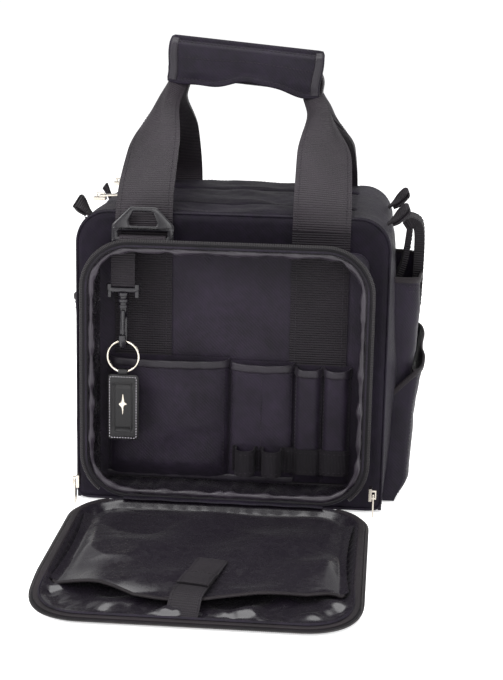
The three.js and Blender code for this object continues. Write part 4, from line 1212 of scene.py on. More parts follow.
# ------------------------------------------------------------------------------------ organizer
@dataclass
class OrganizerFrame:
    """The shallow compartment on the front: gusset, gathered lining, binding and zip."""

    wall: float = 1.4
    flare_side: float = 3.0
    flare_top: float = 9.0
    back_corner: float = 10.0
    corner: float = 38.0
    gather: float = 2.0
    count: int = 420
    round_length: float = 860.0
    lining_gap: float = 1.0

    def ring(self, flare: float, grow: float) -> Array:
        """Outline at a share of the depth: 0 at the panel, 1 at the zip.

        Args:
            flare: share of the depth.
            grow: how far the outline stands outside the gusset.

        Returns:
            Points (count, 2) in X and Z.
        """
        low, high = self.low, self.high
        side = self.flare_side * (1 - flare) - grow
        corner = self.back_corner + (self.corner - self.back_corner) * flare + grow
        return rounded_loop(low[0] + side, high[0] - side, low[2] + 2 * (1 - flare) - grow,
                            high[2] - self.flare_top * (1 - flare) + grow, corner, corner, self.count)

    def wall_grid(self, grow: float, rows: Array, wobble: Array) -> Array:
        """Rings at rows of the depth, moved in or out by wobble along the outline's normal.

        Args:
            grow: how far the rings stand outside the gusset.
            rows: shares of the depth.
            wobble: how far each point moves outwards (rows, count).

        Returns:
            Points (rows, count, 3).
        """
        rings = []
        for share, push in zip(rows, wobble):
            loop = self.ring(share, grow)
            step = np.roll(loop, -1, 0) - np.roll(loop, 1, 0)
            normal = np.stack([step[:, 1], -step[:, 0]], axis=1)
            normal /= np.linalg.norm(normal, axis=1, keepdims=True)
            loop = loop + normal * push[:, None]
            rings.append(lay(loop[:, 0], self.high[1] + (self.low[1] - self.high[1]) * share, loop[:, 1]))
        return np.stack(rings)

    def build(self) -> None:
        """Make the gusset, its gathered lining and the rim, then the zip round its edge."""
        self.low, self.high = node_box("organizer_gusset")
        rows = np.linspace(0.0, 1.0, 26)
        around = np.linspace(0.0, 1.0, self.count, endpoint=False)[None]
        r = rows[:, None]
        loose = np.sin(r * math.pi) ** 0.8
        run = around * self.round_length
        outer = self.wall_grid(0.0, rows, loose * (ripple(run, r * 43.0, 51, 50.0, 0.5) + 0.5))
        piece = Piece("organizer_gusset_cloth").shell(outer[:, ::-1], NYLON, self.wall, wrap_v=True)
        foot = resample(outer[1] + np.array([0, 0.6, 0]), 300, True)
        piece.tube(foot, oval(1.3, 1.3, 8), NYLON, up=FRONT, closed=True)
        piece.shell(self.lining(rows, around, loose), SATIN, 0.6, wrap_v=True)
        rim = self.ring(1.0, -0.9)
        edge = lay(rim[:, 0], self.low[1] + 1.5, rim[:, 1])
        piece.tube(edge, oval(1.5, 1.5, 12, 2.6), ZIP_TAPE, up=FRONT, closed=True)
        self.ruffle(piece)
        piece.build("bag", "nylon", ("organizer_gusset",))
        self.zip()

    def lining(self, rows: Array, around: Array, loose: Array) -> Array:
        """The gathered satin inside the gusset: folds across its depth at uneven distances.

        Args:
            rows: shares of the depth.
            around: shares of the way round.
            loose: how free the cloth is at each row.

        Returns:
            Its points.
        """
        r = rows[:, None]
        run = around * self.round_length
        swing = 3.1 * np.sin(run / 31.0) + 1.7 * np.sin(around * 61.0) + 0.9 * np.sin(around * 143.0)
        pucker = np.sin(run / 19.0 * math.tau + swing + 0.8 * r)
        fine = np.sin(run / 6.3 * math.tau + 2.0 * swing) * (0.5 + 0.5 * np.sin(around * 37.0))
        fold = loose * (self.gather * pucker * (0.35 + 0.65 * r) + 0.3 * fine * r
                        + ripple(run, r * 60.0, 55, 34.0, 1.0))
        inner = self.wall_grid(-self.wall - self.lining_gap, rows, np.minimum(fold, 1.0))
        inner[..., 1] = self.high[1] + (self.low[1] + 1.0 - self.high[1]) * r
        return inner

    def ruffle(self, piece: Piece) -> None:
        """Add the uneven roll of gathered satin just inside the rim.

        Args:
            piece: what it is added to.
        """
        roll = self.ring(1.0, -4.2)
        steps = np.arange(self.count)
        swell = 1.0 + 0.3 * np.sin(steps / 2.9 + 2.2 * np.sin(steps / 13.0)) + 0.15 * np.sin(steps / 1.3)
        path = lay(roll[:, 0], self.low[1] + 4.2 + 0.5 * np.sin(steps / 3.7), roll[:, 1])
        piece.tube(path, oval(2.7, 2.2, 14), LIT_RUFFLED_SATIN, up=FRONT, closed=True, swell=swell)

    def zip(self) -> None:
        """The zip's tape and coil round the opening, open at the hinge edge."""
        low, high = node_box("compartment_zip")
        middle = (low[1] + high[1]) / 2
        tape, coil = self.ring(1.0, 2.2), self.ring(1.0, 3.6)
        order = kept_run(tape[:, 1] > self.low[2] + 6.0)
        piece = Piece("compartment_zip_coil")
        piece.tube(lay(tape[:, 0], middle, tape[:, 1])[order], oval(2.3, 0.5, 10, 4.0), ZIP_TAPE, up=FRONT)
        piece.teeth(lay(coil[:, 0], middle, coil[:, 1])[order], FRONT, width=3.0, radius=0.7)
        piece.build("bag", "zip", ("compartment_zip",))


@dataclass
class OrganizerPockets:
    """Pockets, pen sleeves and elastic loops on the back of the compartment."""

    cloth: float = 1.2
    binding: float = 3.5
    inset: float = 0.4
    mouth_dip: float = 1.6
    band: float = 1.2

    def build(self) -> None:
        """Make every pocket."""
        self.back_panel()
        self.pocket("phone_pocket", 8.0, 61, 0.8)
        self.pocket("document_pocket", 5.0, 62, 0.5, 1)
        self.pens()
        self.elastic()

    def back_panel(self) -> None:
        """The inner cloth over the compartment's back, behind the straps."""
        low, high = node_box("organizer_gusset")
        face = node_box("front_panel")[0][1]
        x, z, _ = plan_grid(80, 80, (low[0] + 4.5, high[0] - 4.5), (low[2] + 3.5, high[2] - 10.5), 9.0, 9.0)
        y = face - 0.45 - 0.12 * ripple(x, z, 68, 50.0, 1.0)
        piece = Piece("organizer_back_cloth").shell(lay(x, y, z), LIT_INNER_NYLON, 0.5, uv=pair(x, z))
        piece.build("bag", "nylon")

    def front(self, piece: Piece, x: tuple[float, float], y: tuple[float, float], z: tuple[float, float],
              power: float, seed: int, slack: float) -> None:
        """Add a pocket's bulging front with its bound mouth and side stitches.

        The face stands off the backing by the depth times one minus the width's coordinate
        to an even power, more at the mouth than at the foot.

        Args:
            piece: what it is added to.
            x: left and right.
            y: front face and backing.
            z: foot and mouth.
            power: how boxy it is.
            seed: of its unevenness.
            slack: height of its ripples.
        """
        u, w = spread((-1, 1, 60), (0, 1, 50))
        px = (x[0] + x[1]) / 2 + u * (x[1] - x[0]) / 2
        pz = z[0] + w * (z[1] - z[0])
        depth = (y[1] - y[0]) * (1 - np.abs(u) ** power) ** 0.6 * ramp(w, -0.02, 0.16) ** 0.6
        soft = ripple(px, pz, seed, 38.0, slack) + creases(px, pz, seed + 1, 45.0, slack, 1.3)
        wave = (1 - u**6) * ramp(w, 0.0, 0.3) * soft
        py = y[1] - 0.5 - depth * (0.86 + 0.14 * w) - np.minimum(wave, 1.2)
        points = lay(px, py, pz - self.mouth_dip * (1 - u**2) * ramp(w, 0.85, 1.0))
        piece.shell(points, LIT_INNER_NYLON, self.cloth, uv=pair(px, pz))
        mouth = points[:, -1] + np.array([0.0, 0.5, 0.0])
        mouth[:, 1] += 0.35 * np.sin(mouth[:, 0] / 2.7 + seed) * (1 - u[:, 0] ** 6)
        band = mouth + np.array([0.0, 0.0, -self.binding + 1.2])
        piece.tube(band, oval(1.25, self.binding, 12, 5.0), BINDING)
        piece.stitches(band[2:-2] + np.array([0, -1.3, 1.4 - self.binding]), FRONT)
        for column in (2, -3):
            piece.stitches(points[column, 2:-2] + np.array([0, -0.3, 0]), FRONT)

    def backing(self, piece: Piece, low: Array, high: Array) -> None:
        """Add the flat cloth behind a pocket, up to 2 mm above its mouth."""
        px, pz = spread((low[0], high[0], 30), (low[2], high[2] + 2, 30))
        piece.shell(lay(px, high[1] - 0.5, pz), LIT_INNER_NYLON, 0.6, uv=pair(px, pz))

    def valley(self, x: float, low: Array, high: Array) -> Array:
        """Where a seam divides a pocket's front.

        Args:
            x: the seam's place across.
            low: lowest corner of the pocket's node.
            high: highest corner of it.

        Returns:
            Points up the front.
        """
        z = np.linspace(low[2] + 3.0, high[2] - 1.0, 50)
        deep = ramp((z - low[2]) / (high[2] - low[2]), -0.02, 0.16) ** 0.6 * 0.93
        return lay(x, high[1] - 0.7 - (high[1] - low[1]) * deep, z)

    def pocket(self, node: str, power: float, seed: int, slack: float, seams: int = 0) -> None:
        """One flat pocket in place of a CAD node, with rows of stitches dividing its front.

        Args:
            node: the CAD node.
            power: how boxy its front is.
            seed: of its unevenness.
            slack: height of its ripples.
            seams: how many rows of stitches divide it.
        """
        low, high = node_box(node)
        piece = Piece(node + "_cloth")
        self.backing(piece, low, high)
        self.front(piece, (low[0] + self.inset, high[0] - self.inset), (low[1], high[1]), (low[2], high[2]),
                   power, seed, slack)
        foot = lay(np.linspace(low[0], high[0], 40), high[1] - 1.8, low[2] + 1.6)
        foot[:, 1] -= 0.3 * np.sin(foot[:, 0] / 3.1 + seed)
        piece.tube(foot, oval(2.6, 1.1, 12, 4.0), BINDING, up=FRONT)
        for across in np.linspace(low[0], high[0], seams + 2)[1:-1]:
            piece.stitches(self.valley(across, low, high), FRONT, length=1.9, pitch=2.7)
        piece.build("bag", "nylon", (node,))

    def pens(self) -> None:
        """Two pen sleeves side by side."""
        low, high = node_box("pen_sleeves")
        middle, inset = (low[0] + high[0]) / 2, self.inset
        piece = Piece("pen_sleeves_cloth")
        self.backing(piece, low, high)
        for left, right, seed in ((low[0], middle, 64), (middle, high[0], 65)):
            self.front(piece, (left + inset, right - inset), (low[1], high[1]), (low[2], high[2]),
                       4.0, seed, 0.3)
        piece.build("bag", "nylon", ("pen_sleeves",))

    def elastic(self) -> None:
        """One band of ribbed elastic: two round loops, then flat over the pen sleeves.

        The band is a line in plan, two arches and a run, carried up its height.
        """
        low, high = node_box("elastic_loops")
        pen_low, pen_high = node_box("pen_sleeves")
        near, back = low[1] + 0.7, node_box("document_pocket")[0][1] - 1.0
        shoulder = (near + back) / 2 - 2
        line = [[low[0], back]]
        for left, right in ((7.0, 25.0), (30.4, 48.4)):
            line += [[left, back], [left + 0.6, shoulder], [left + 4, near + 1.2], [(left + right) / 2, near],
                     [right - 4, near + 1.2], [right - 0.6, shoulder], [right, back]]
        pen_mid, face, seam = (pen_low[0] + pen_high[0]) / 2, pen_low[1], pen_low[1] + 3.4
        line += [[54.0, back], [pen_low[0] + 0.5, seam], [pen_low[0] + 4, face - 1.0],
                 [pen_low[0] + 12, face - 2.0], [pen_mid - 4, face - 1.2], [pen_mid, seam - 1.6],
                 [pen_mid + 4, face - 1.2], [pen_high[0] - 12, face - 2.0], [pen_high[0] - 4, face - 1.0],
                 [pen_high[0] + 0.5, seam - 1.5]]
        plan = np.array(line)
        dense = spline(np.column_stack([plan, 0 * plan[:, 0]]), 240)
        z = np.linspace(low[2], high[2], 16)
        points = lay(dense[:, None, 0], dense[:, None, 1], z[None])
        piece = Piece("elastic_band").shell(points, ELASTIC, self.band)
        for row in (2, -3):
            piece.stitches(points[:, row] + np.array([0, -0.25, 0]), FRONT, pitch=4.4)
        for x_at in (low[0] + 1.5, 27.7, 51.0, pen_mid):
            column = int(np.argmin(np.abs(dense[:, 0] - x_at) + 0.5 * np.abs(dense[:, 1] - back)))
            piece.stitches(points[column] + np.array([0, -0.35, 0]), FRONT, pitch=2.8)
        piece.build("bag", "elastic", ("elastic_loops",))


# ------------------------------------------------------------------------------------ straps and grip
@dataclass
class CarryStraps:
    """Webbing on the two end walls, its four free legs and the padded grip."""

    width: float = 50.0
    cloth: float = 2.0
    curl: float = 1.3
    grip_pad: float = 2.56
    tilt: float = 5.0
    fixed: float = 26.0

    def build(self) -> None:
        """Make the straps, legs and grip."""
        for end, facing in (("front", -1.0), ("rear", 1.0)):
            for side in ("left", "right"):
                self.panel_strap(end, side, facing)
                self.leg(end, side, facing)
        self.core()
        self.grip()

    def panel_strap(self, end: str, side: str, facing: float) -> None:
        """A strip of webbing sewn flat on an end wall, with a line of stitches by each edge.

        Args:
            end: front or rear.
            side: left or right.
            facing: -1 for the front, 1 for the rear.
        """
        node = f"{end}_strap_{side}"
        low, high = node_box(node)
        x, z = spread((low[0], high[0], 22), (low[2], high[2] + 1.0, 160))
        u = (x - (low[0] + high[0]) / 2) / (self.width / 2)
        face = high[1] if facing > 0 else -low[1]
        points = lay(x, facing * (face - 0.5 * u**8 + 0.2 * ripple(x, z, 71, 40.0, 1.0)), z)
        uv = pair(z, x)
        if facing > 0:
            points, uv = points[::-1], uv[::-1]
        piece = Piece(node + "_webbing").shell(points, SHADED_FLAT_WEBBING, self.cloth, uv=uv)
        for column in (2, -3):
            piece.stitches(points[column, 2:-2] + np.array([0, facing * 0.2, 0]), (0, facing, 0))
        across = np.linspace(low[0] + 3, high[0] - 3, 40)
        for level in (high[2] - 3.0, high[2] - 25.0):
            piece.stitches(lay(across, facing * (face + 0.2), level), (0, facing, 0))
        piece.build("bag", "webbing", (node,))

    def leg(self, end: str, side: str, facing: float) -> None:
        """A free leg of webbing that curls lengthwise as it rises into the grip.

        Its section is an arc of fixed length whose half angle grows from 0 to curl, so the
        webbing keeps its width as cloth while it narrows to the eye; the section also turns.

        Args:
            end: front or rear.
            side: left or right.
            facing: -1 for the front, 1 for the rear.
        """
        node = f"{end}_handle_{side}"
        low, high = node_box(node)
        sign = -1.0 if side == "left" else 1.0
        foot, top = low[2], high[2]
        rise = top - foot
        wall = node_box("rear_strap_right")[1][1] - 1.1
        # Each row is a place, then the turn in degrees and the share of the curl.
        rows = spline([
            [76.8, wall, foot - 4.0, 0.0, 0.0], [77.0, wall - 0.5, foot + 0.09 * rise, 2.0, 0.02],
            [76.8, wall - 9.0, foot + 0.26 * rise, 9.0, 0.1],
            [76.0, wall - 33.0, foot + 0.47 * rise, 18.0, 0.26],
            [75.0, wall - 60.0, foot + 0.67 * rise, 28.0, 0.48], [71.5, 25.0, foot + 0.86 * rise, 42.0, 0.8],
            [63.5, 8.0, top + 1.0, 60.0, 1.1],
        ], 110)
        height, share = rows[:, 2:3], rows[:, 4:5]
        centre = rows[:, :3] * np.array([sign, facing, 1.0])
        turn = np.radians(rows[:, 3]) * -sign * facing
        bend = np.maximum(self.curl * rows[:, 4] ** 1.3, 1e-3)[:, None]
        across, out = self.section_axes(centre, turn, facing)
        v = np.linspace(-1.0, 1.0, 26)
        radius = self.width / 2 / bend
        narrow = 1.0 - 0.52 * ramp((height - foot) / rise, 0.55, 1.02)
        side_by = radius * np.sin(bend * v) * narrow
        deep = radius * (np.cos(bend * v) - np.cos(bend)) * 0.9
        deep += 0.5 * np.sin(height / 17.0 + 2 * v) * ramp(share, 0.0, 0.3)
        deep += 1.5 * np.exp(-((v - 0.25) / 0.16) ** 2) * ramp(share, 0.35, 0.8)
        deep -= deep.mean(1, keepdims=True) * ramp(share, 0, 1)
        points = centre[:, None] + across[:, None] * side_by[..., None] + out[:, None] * deep[..., None]
        length = np.concatenate([[0], np.cumsum(np.linalg.norm(np.diff(centre, axis=0), axis=1))])
        uv = pair(*np.meshgrid(length, v * self.width / 2, indexing="ij"))
        if grid_normals(points)[0, 13, 1] * facing < 0:
            points, uv = points[:, ::-1], uv[:, ::-1]
        piece = Piece(node + "_webbing").shell(points, WEBBING, self.cloth, uv=uv)
        piece.seams(points, 0.2, [(slice(2, -2), column) for column in (2, -3)])
        obj = piece.build("", "webbing", (node,))
        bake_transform(obj)

    @staticmethod
    def section_axes(centre: Array, turn: Array, facing: float) -> tuple[Array, Array]:
        """Axes of a leg's section at each of its points.

        Args:
            centre: the leg's middle line (n, 3).
            turn: how far each section turns about the vertical, in radians.
            facing: -1 for the front, 1 for the rear.

        Returns:
            Unit vectors across the webbing and out of it.
        """
        across = np.stack([np.cos(turn), np.sin(turn), 0 * turn], axis=1)
        tangent = np.gradient(centre, axis=0)
        tangent /= np.linalg.norm(tangent, axis=1, keepdims=True)
        across -= tangent * np.einsum("ij,ij->i", across, tangent)[:, None]
        across /= np.linalg.norm(across, axis=1, keepdims=True)
        out = np.cross(across, tangent) * facing * -1.0
        return across, out * np.sign(out[0, 1] * facing)

    def core(self) -> None:
        """The bundle of webbing inside the grip, bending down at both ends."""
        low, high = node_box("handle_core")
        wrap_low, wrap_high = node_box("grip_wrap")
        tilt = math.tan(math.radians(self.tilt))
        bend = (high[0] - low[0]) / 2 - 13.0
        z0 = (wrap_low[2] + wrap_high[2]) / 2
        line = spline([[-bend, 0, z0 + bend * tilt - 17.0], [-bend - 0.5, 0, z0 + bend * tilt - 6.0],
                       [-bend + 7, 0, z0 + (bend - 7) * tilt + 1], [-30, 0, z0 + 30 * tilt + 1],
                       [30, 0, z0 - 30 * tilt + 1], [bend - 7, 0, z0 - (bend - 7) * tilt + 1],
                       [bend + 0.5, 0, z0 - bend * tilt - 6.0], [bend, 0, z0 - bend * tilt - 17.0]], 90)
        tangent, _, lift = path_frames(line, np.array(REAR))
        normal = np.cross(tangent, lift)
        piece = Piece("handle_core_webbing")
        for offset, half in ((-4.0, 12.0), (-1.4, 12.6), (1.4, 12.2), (4.0, 11.6)):
            piece.tube(line + normal * offset, oval(half, 1.15, 16, 5.0), WEBBING, up=-normal)
        piece.build("handle", "webbing", ("handle_core",))

    def grip(self) -> None:
        """The padded sleeve: a wrapped back and top, and a front flap that closes it.

        Its section is a rounded oblong; the length crowns towards the middle and the lower
        edge waves a little.
        """
        low, high = node_box("grip_wrap")
        front = node_box("grip_flap")[0][1]
        centre = np.array([(low[0] + high[0]) / 2, (front + high[1]) / 2, (low[2] + high[2]) / 2])
        half_length = (high[0] - low[0]) / 2 - 0.5
        angle = math.radians(self.tilt)
        along = np.array([math.cos(angle), 0.0, -math.sin(angle)])
        upright = np.array([math.sin(angle), 0.0, math.cos(angle)])
        half_y, half_z = (high[1] - front) / 2, 17.0
        theta = np.linspace(math.radians(112.0), math.radians(-118.0), 70)
        c, s = np.cos(theta), np.sin(theta)
        power = 2 / 3.4
        py = (half_y * np.sign(c) * np.abs(c) ** power)[None]
        pz = (half_z * np.sign(s) * np.abs(s) ** power)[None]
        shorter = np.linspace(-1.0, 1.0, 84) * (1.0 - 3.5 / half_length)
        tt, kk = np.meshgrid(shorter, np.arange(70.0), indexing="ij")
        pinch = 1.0 - 0.05 * np.abs(tt) ** 6
        folds = creases(tt * 62, kk * 1.9, 81, 34.0, 0.9, 0.1, 0.4)
        bump = folds * (1 - np.abs(tt) ** 8) + 0.9 * (1 - tt**2)
        points = (centre + along * (tt * half_length)[..., None]
                  + np.array(REAR) * (py * pinch + np.sign(py) * bump * (np.abs(py) > 8))[..., None]
                  + upright * (pz * pinch + np.where(pz > 8, bump, 0))[..., None])
        piece = Piece("grip_wrap_cloth").shell(points, NYLON, self.grip_pad)
        for end, row in ((0, 4), (-1, -5)):
            piece.tube(points[end], oval(1.6, 3.0, 12, 3.0), BINDING, up=along)
            piece.seams(points, 0.2, [(row, slice(2, -2))])
        piece.build("handle", "nylon", ("grip_wrap",))
        self.front_flap(centre, along, upright, (half_length, half_y, half_z))

    def front_flap(self, centre: Array, along: Array, upright: Array,
                   half: tuple[float, float, float]) -> None:
        """The sleeve's front: it turns over the top edge and hangs down, bound all round.

        Args:
            centre: middle of the grip.
            along: direction of its length.
            upright: direction of its height.
            half: half its length, depth and height.
        """
        half_length, half_y, half_z = half
        tt, ww = spread((-1.0, 1.0, 90), (0.0, 1.0, 48))
        drop = half_z + 1.0 - ww * (2 * half_z + 3.5)
        wave = 1.3 * np.sin(tt * 5.2 + 0.8) * ww**2 + 0.8 * np.sin(tt * 11.0 + 2.0) * ww**3
        wave = wave + 7.0 * np.exp(-((tt - 0.15) / 0.55) ** 2) * ww**1.5
        turn = ramp(ww, 0.0, 0.16)
        swell = 1.6 * np.sin(np.clip(ww, 0, 1) * math.pi) * (1 - np.abs(tt) ** 6)
        folds = creases(tt * 62, ww * 36, 85, 30.0, 0.9, 0.3, 0.5)
        bump = folds * (1 - np.abs(tt) ** 8) * np.sin(ww * math.pi)
        lip = 1.6 * ramp(ww, 0.75, 1.0) * np.sin(tt * 4.0 + 1.0)
        back = -half_y - 1.2 + 6.5 * (1 - turn) ** 1.5 - swell - bump - lip
        reach = half_length * (1.0 + 0.012 * np.sin(ww * 6.0))
        points = (centre + along * (tt * reach)[..., None] + np.array(REAR) * back[..., None]
                  + upright * (drop + wave)[..., None])[:, ::-1]
        uv = pair(tt * half_length, drop[:, ::-1])
        piece = Piece("grip_flap_cloth").shell(points, NYLON, 2.4, uv=uv)
        rim = np.vstack([points[0], points[1:, -1], points[-1, -2::-1], points[-2:0:-1, 0]])
        rim = resample(rim, 240, True) + np.array([0.0, 1.2, 0.0])
        piece.tube(rim, oval(2.9, 1.8, 12, 3.4), NYLON, up=FRONT, closed=True)
        for end, inwards in ((0, 2.0), (-1, -2.0)):
            piece.tube(points[end] + along * inwards, oval(3.4, 1.5, 12, 3.4), BINDING, up=FRONT)
        long, short = slice(4, -4), slice(3, -3)
        piece.seams(points, 0.25, [(long, 3), (long, -4), (4, short), (-5, short), (long, 27)])
        piece.build("grip_flap", "nylon", ("grip_flap",))


# ------------------------------------------------------------------------------------ flap
@dataclass
class Flap:
    """The organizer's door lying open: padded tray, zip, binding, satin pocket and closing tab."""

    depth: float = 13.0
    wall: float = 2.0
    corner: float = 38.0
    half: float = 120.5
    reach: float = 225.0
    sag: float = 6.5
    count: int = 420
    lining_lift: float = 3.4
    binding: float = 1.3
    open_from: float = -4.0
    mouth_middle: float = -4.0
    mouth_half: float = 109.0
    mouth_depth: float = 203.0
    mouth_rise: float = 31.0

    def place(self, points: Array) -> Array:
        """Turn points drawn flat about the hinge into their place.

        Args:
            points: in the flat drawing, where Y runs from the hinge and Z off the cloth.

        Returns:
            The points in the bag's frame.
        """
        c, s = math.cos(self.tilt), math.sin(self.tilt)
        y = self.hinge[1] + points[..., 1] * c - points[..., 2] * s
        z = self.hinge[2] + points[..., 1] * s + points[..., 2] * c
        return np.stack([points[..., 0], y, z], axis=-1)

    def edges(self, grow: float) -> tuple[tuple[float, float], tuple[float, float], float, float]:
        """The outline grown by a distance: its sides, its ends and its two corner radii."""
        sides, far = (-self.half - grow, self.half + grow), -self.reach - grow
        return sides, (far, -0.5 + min(grow, 0.0)), self.corner + grow, self.corner + grow

    def ring(self, grow: float, lift: float, sink: float = 0.0, whole: bool = False) -> Array:
        """The outline grown by a distance, in place.

        Args:
            grow: how far it stands outside the flap's edge.
            lift: its height in the flat drawing.
            sink: how much of the rim's droop it follows.
            whole: it goes all the way round, and isn't left open along the hinge.

        Returns:
            Points in order.
        """
        sides, ends, low, high = self.edges(grow)
        loop = rounded_loop(*sides, *ends, low, high, self.count)
        points = self.place(lay(loop[:, 0], loop[:, 1], lift - sink * self.droop(loop[:, 1])))
        return points if whole else points[kept_run(loop[:, 1] < self.open_from)]

    def plan(self, n: int, grow: float) -> tuple[Array, Array, Array]:
        """Plan grid of the outline grown by a distance."""
        return plan_grid(n, n, *self.edges(grow))

    def droop(self, y: Array) -> Array:
        """How far the rim sinks towards the floor near the free end."""
        return self.sag * ramp(-y, 0.70 * self.reach, 0.98 * self.reach)

    def build(self) -> None:
        """Make every piece of the flap."""
        self.hinge = joint_place("flap_hinge")
        self.tilt = math.asin((self.hinge[2] - self.depth - 0.3) / (self.reach + 4.5))
        self.tray()
        self.lining()
        self.zip()
        self.pocket()
        self.tab()
        self.bridge()

    def tray(self) -> None:
        """The nylon outside: a floor that turns up into a low wall round its edge."""
        x, y, out = self.plan(121, 0.0)
        rise = ramp(out, 0.90, 1.0)
        squeeze = 1.0 - 0.012 * (1 - rise)
        soft = ripple(x, y, 91, 60.0, 0.5) * (1 - rise)
        wall = np.clip((out - 0.955) / 0.045, 0, 1) ** 0.8
        z = -self.depth + (self.depth - 1.5 - self.droop(y)) * wall + np.abs(soft)
        flat = lay(x * squeeze, (y + 112.0) * squeeze - 112.0, z)
        points = self.place(flat)[::-1]
        piece = Piece("flap_shell").shell(points, NYLON, 1.6, uv=points[..., :2])
        piece.stitches(self.ring(-4.0, -self.depth + 2.2, whole=True), DOWN, closed=True)
        piece.build("flap", "nylon", ("flap_panel",))

    def lining(self) -> None:
        """Loose satin over the tray's inside, gathered into folds and turned up at the rim."""
        x, y, out = self.plan(181, -1.4)
        rise = ramp(out, 0.93, 1.0)
        inner = 1 - rise
        fold = (creases(x, y, 95, 42.0, 1.4, 1.2, 0.9) + ripple(x, y, 97, 24.0, 0.5)
                + ripple(x, y, 98, 34.0, 3.6) * ramp(-y, 150.0, 190.0))
        edge = ramp(out, 0.80, 0.90) * inner * np.sin(np.arctan2(y + 112, x) * 60.0) * 0.5
        z = (-self.depth + self.lining_lift + np.clip(fold + 0.8, 0.0, 5.0) * inner + edge
             + (self.depth - 4.6 - self.droop(y)) * rise)
        piece = Piece("flap_lining_satin").shell(self.place(lay(x, y, z)), SATIN, 0.5, uv=pair(x, y))
        obj = piece.build("flap", "lining", ("flap_lining",))

    def zip(self) -> None:
        """Grosgrain binding round the rim, the tape outside it and the coil at its outer edge."""
        piece = Piece("flap_zip_coil")
        piece.tube(self.ring(0.6, -2.0, 1.2), oval(3.0, self.binding, 12, 3.2), GROSGRAIN)
        piece.tube(self.ring(3.0, -2.8, 1.2), oval(2.4, 0.5, 12, 3.2), ZIP_TAPE)
        piece.teeth(self.ring(5.2, -2.4, 1.35), UP, width=3.2, radius=0.72)
        piece.stitches(self.ring(-1.3, -0.85, 1.1), UP)
        piece.build("flap", "zip", ("flap_zip",))

    def mouth(self, x: Array) -> Array:
        """Where the pocket's bound mouth runs: lowest in the middle, higher at the sides."""
        t = np.clip(np.abs(x - self.mouth_middle) / self.mouth_half, 0, 1)
        return -(self.mouth_depth - self.mouth_rise * t**1.7)

    def pocket(self) -> None:
        """The satin pocket's front: loose, folded cloth from the hinge to its bound mouth.

        Height is a tent over the tray that meets the walls at the sides and the hinge, with
        deep slanting folds that fade at the seams.
        """
        half = self.half - 5.5
        u, w = spread((-1, 1, 150), (0, 1, 150))
        near = -4.0 - 30.0 * np.clip((np.abs(u) - 0.72) / 0.28, 0, 1) ** 2
        x = half * u * (1 - 0.035 * (w * (1 - w)) * 4)
        y = near + w * (self.mouth(x) - near)
        edge = np.minimum(1 - np.abs(u), 1.0)
        tent = ramp(edge, 0.0, 0.16) * ramp(w, -0.02, 0.14)
        folds = (creases(x, y, 101, 95.0, 2.2, 0.95, 0.35, 3) + creases(x, y, 109, 55.0, 0.9, 2.3, 0.5, 3)
                 + ripple(x, y, 104, 80.0, 6.0, 5))
        lift = 2.8 * ramp(w, 0.78, 1.0) * (1 - u**4) * (0.4 + 0.6 * np.abs(np.sin(2.4 * u + 0.4)))
        hold = 1.0 - 0.8 * np.exp(-((x + 2.0) / 16.0) ** 2) * ramp(w, 0.55, 0.8)
        z = -8.6 + tent * (7.0 + np.clip(folds, -3.5, 5.0) * 0.9 * hold) + lift * hold
        z = np.where(edge < 0.05, z + 5.0 * (1 - edge / 0.05), z)
        points = self.place(lay(x, y, z))
        piece = Piece("flap_pocket_satin").shell(points, SATIN, 0.6, uv=pair(x, y))
        piece.tube(points[2:-2, -1], oval(0.9, 2.2, 12, 3.0), GROSGRAIN, up=REAR)
        piece.stitches(points[3:-3, -4] + np.array([0, 0, 0.25]), UP)
        obj = piece.build("flap", "lining", ("flap_pocket",))

    def tab(self) -> None:
        """The webbing tab over the pocket's mouth, sewn down near the free end."""
        low, high = node_box("flap_tab")
        half = (high[0] - low[0]) / 2
        line = spline([[-7.0, -225.0, -9.0], [-6.5, -214.0, -6.0], [-5.0, -203.0, 2.2], [-2.0, -188.0, 3.8],
                       [2.0, -165.0, 3.4], [5.0, -146.0, 3.0], [7.0, -134.0, 2.6]], 70)
        across = np.cross(np.gradient(line, axis=0), UP)
        across /= np.linalg.norm(across, axis=1, keepdims=True)
        local = ribbon(line, -across * half, 14)
        local[..., 2] -= 0.5 * np.abs(np.linspace(-1, 1, 14)) ** 6
        points = faced(self.place(local), (30, 7), UP)
        step = faced(self.place(local[28:46] + np.array([0, 0, 1.7])), (5, 7), UP)
        piece = Piece("flap_tab_webbing").shell(points, SHADED_FLAT_WEBBING, 1.7)
        piece.shell(step, SHADED_FLAT_WEBBING, 1.6)
        above = np.array([0, 0, 0.25])
        for row in (1, -2):
            piece.stitches(step[row, 1:-1] + above, UP, pitch=2.8)
        for column in (1, -2):
            piece.stitches(step[:, column] + above, UP, pitch=2.8)
            piece.stitches(points[2:-2, column] + above, UP)
        piece.build("flap_tab", "webbing", ("flap_tab",))

    def bridge(self) -> None:
        """The strip of cloth that joins the compartment's foot to the flap along the hinge."""
        x = np.linspace(-self.half + self.corner - 4, self.half - self.corner + 4, 60)[:, None]
        arc = np.linspace(0.0, 1.0, 14)[None]
        y = self.hinge[1] + 6.0 - 13.0 * arc
        z = self.hinge[2] + 1.2 - 2.0 * np.sin(arc * math.pi) - 0.6 * arc
        points = lay(x, y, z + 0.25 * np.sin(x / 5.0))
        piece = Piece("hinge_cloth").shell(points, NYLON, 1.0)
        for column in (2, -3):
            piece.stitches(points[1:-1, column] + np.array([0, 0, 0.2]), UP)
        obj = piece.build("", "nylon")
        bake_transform(obj)


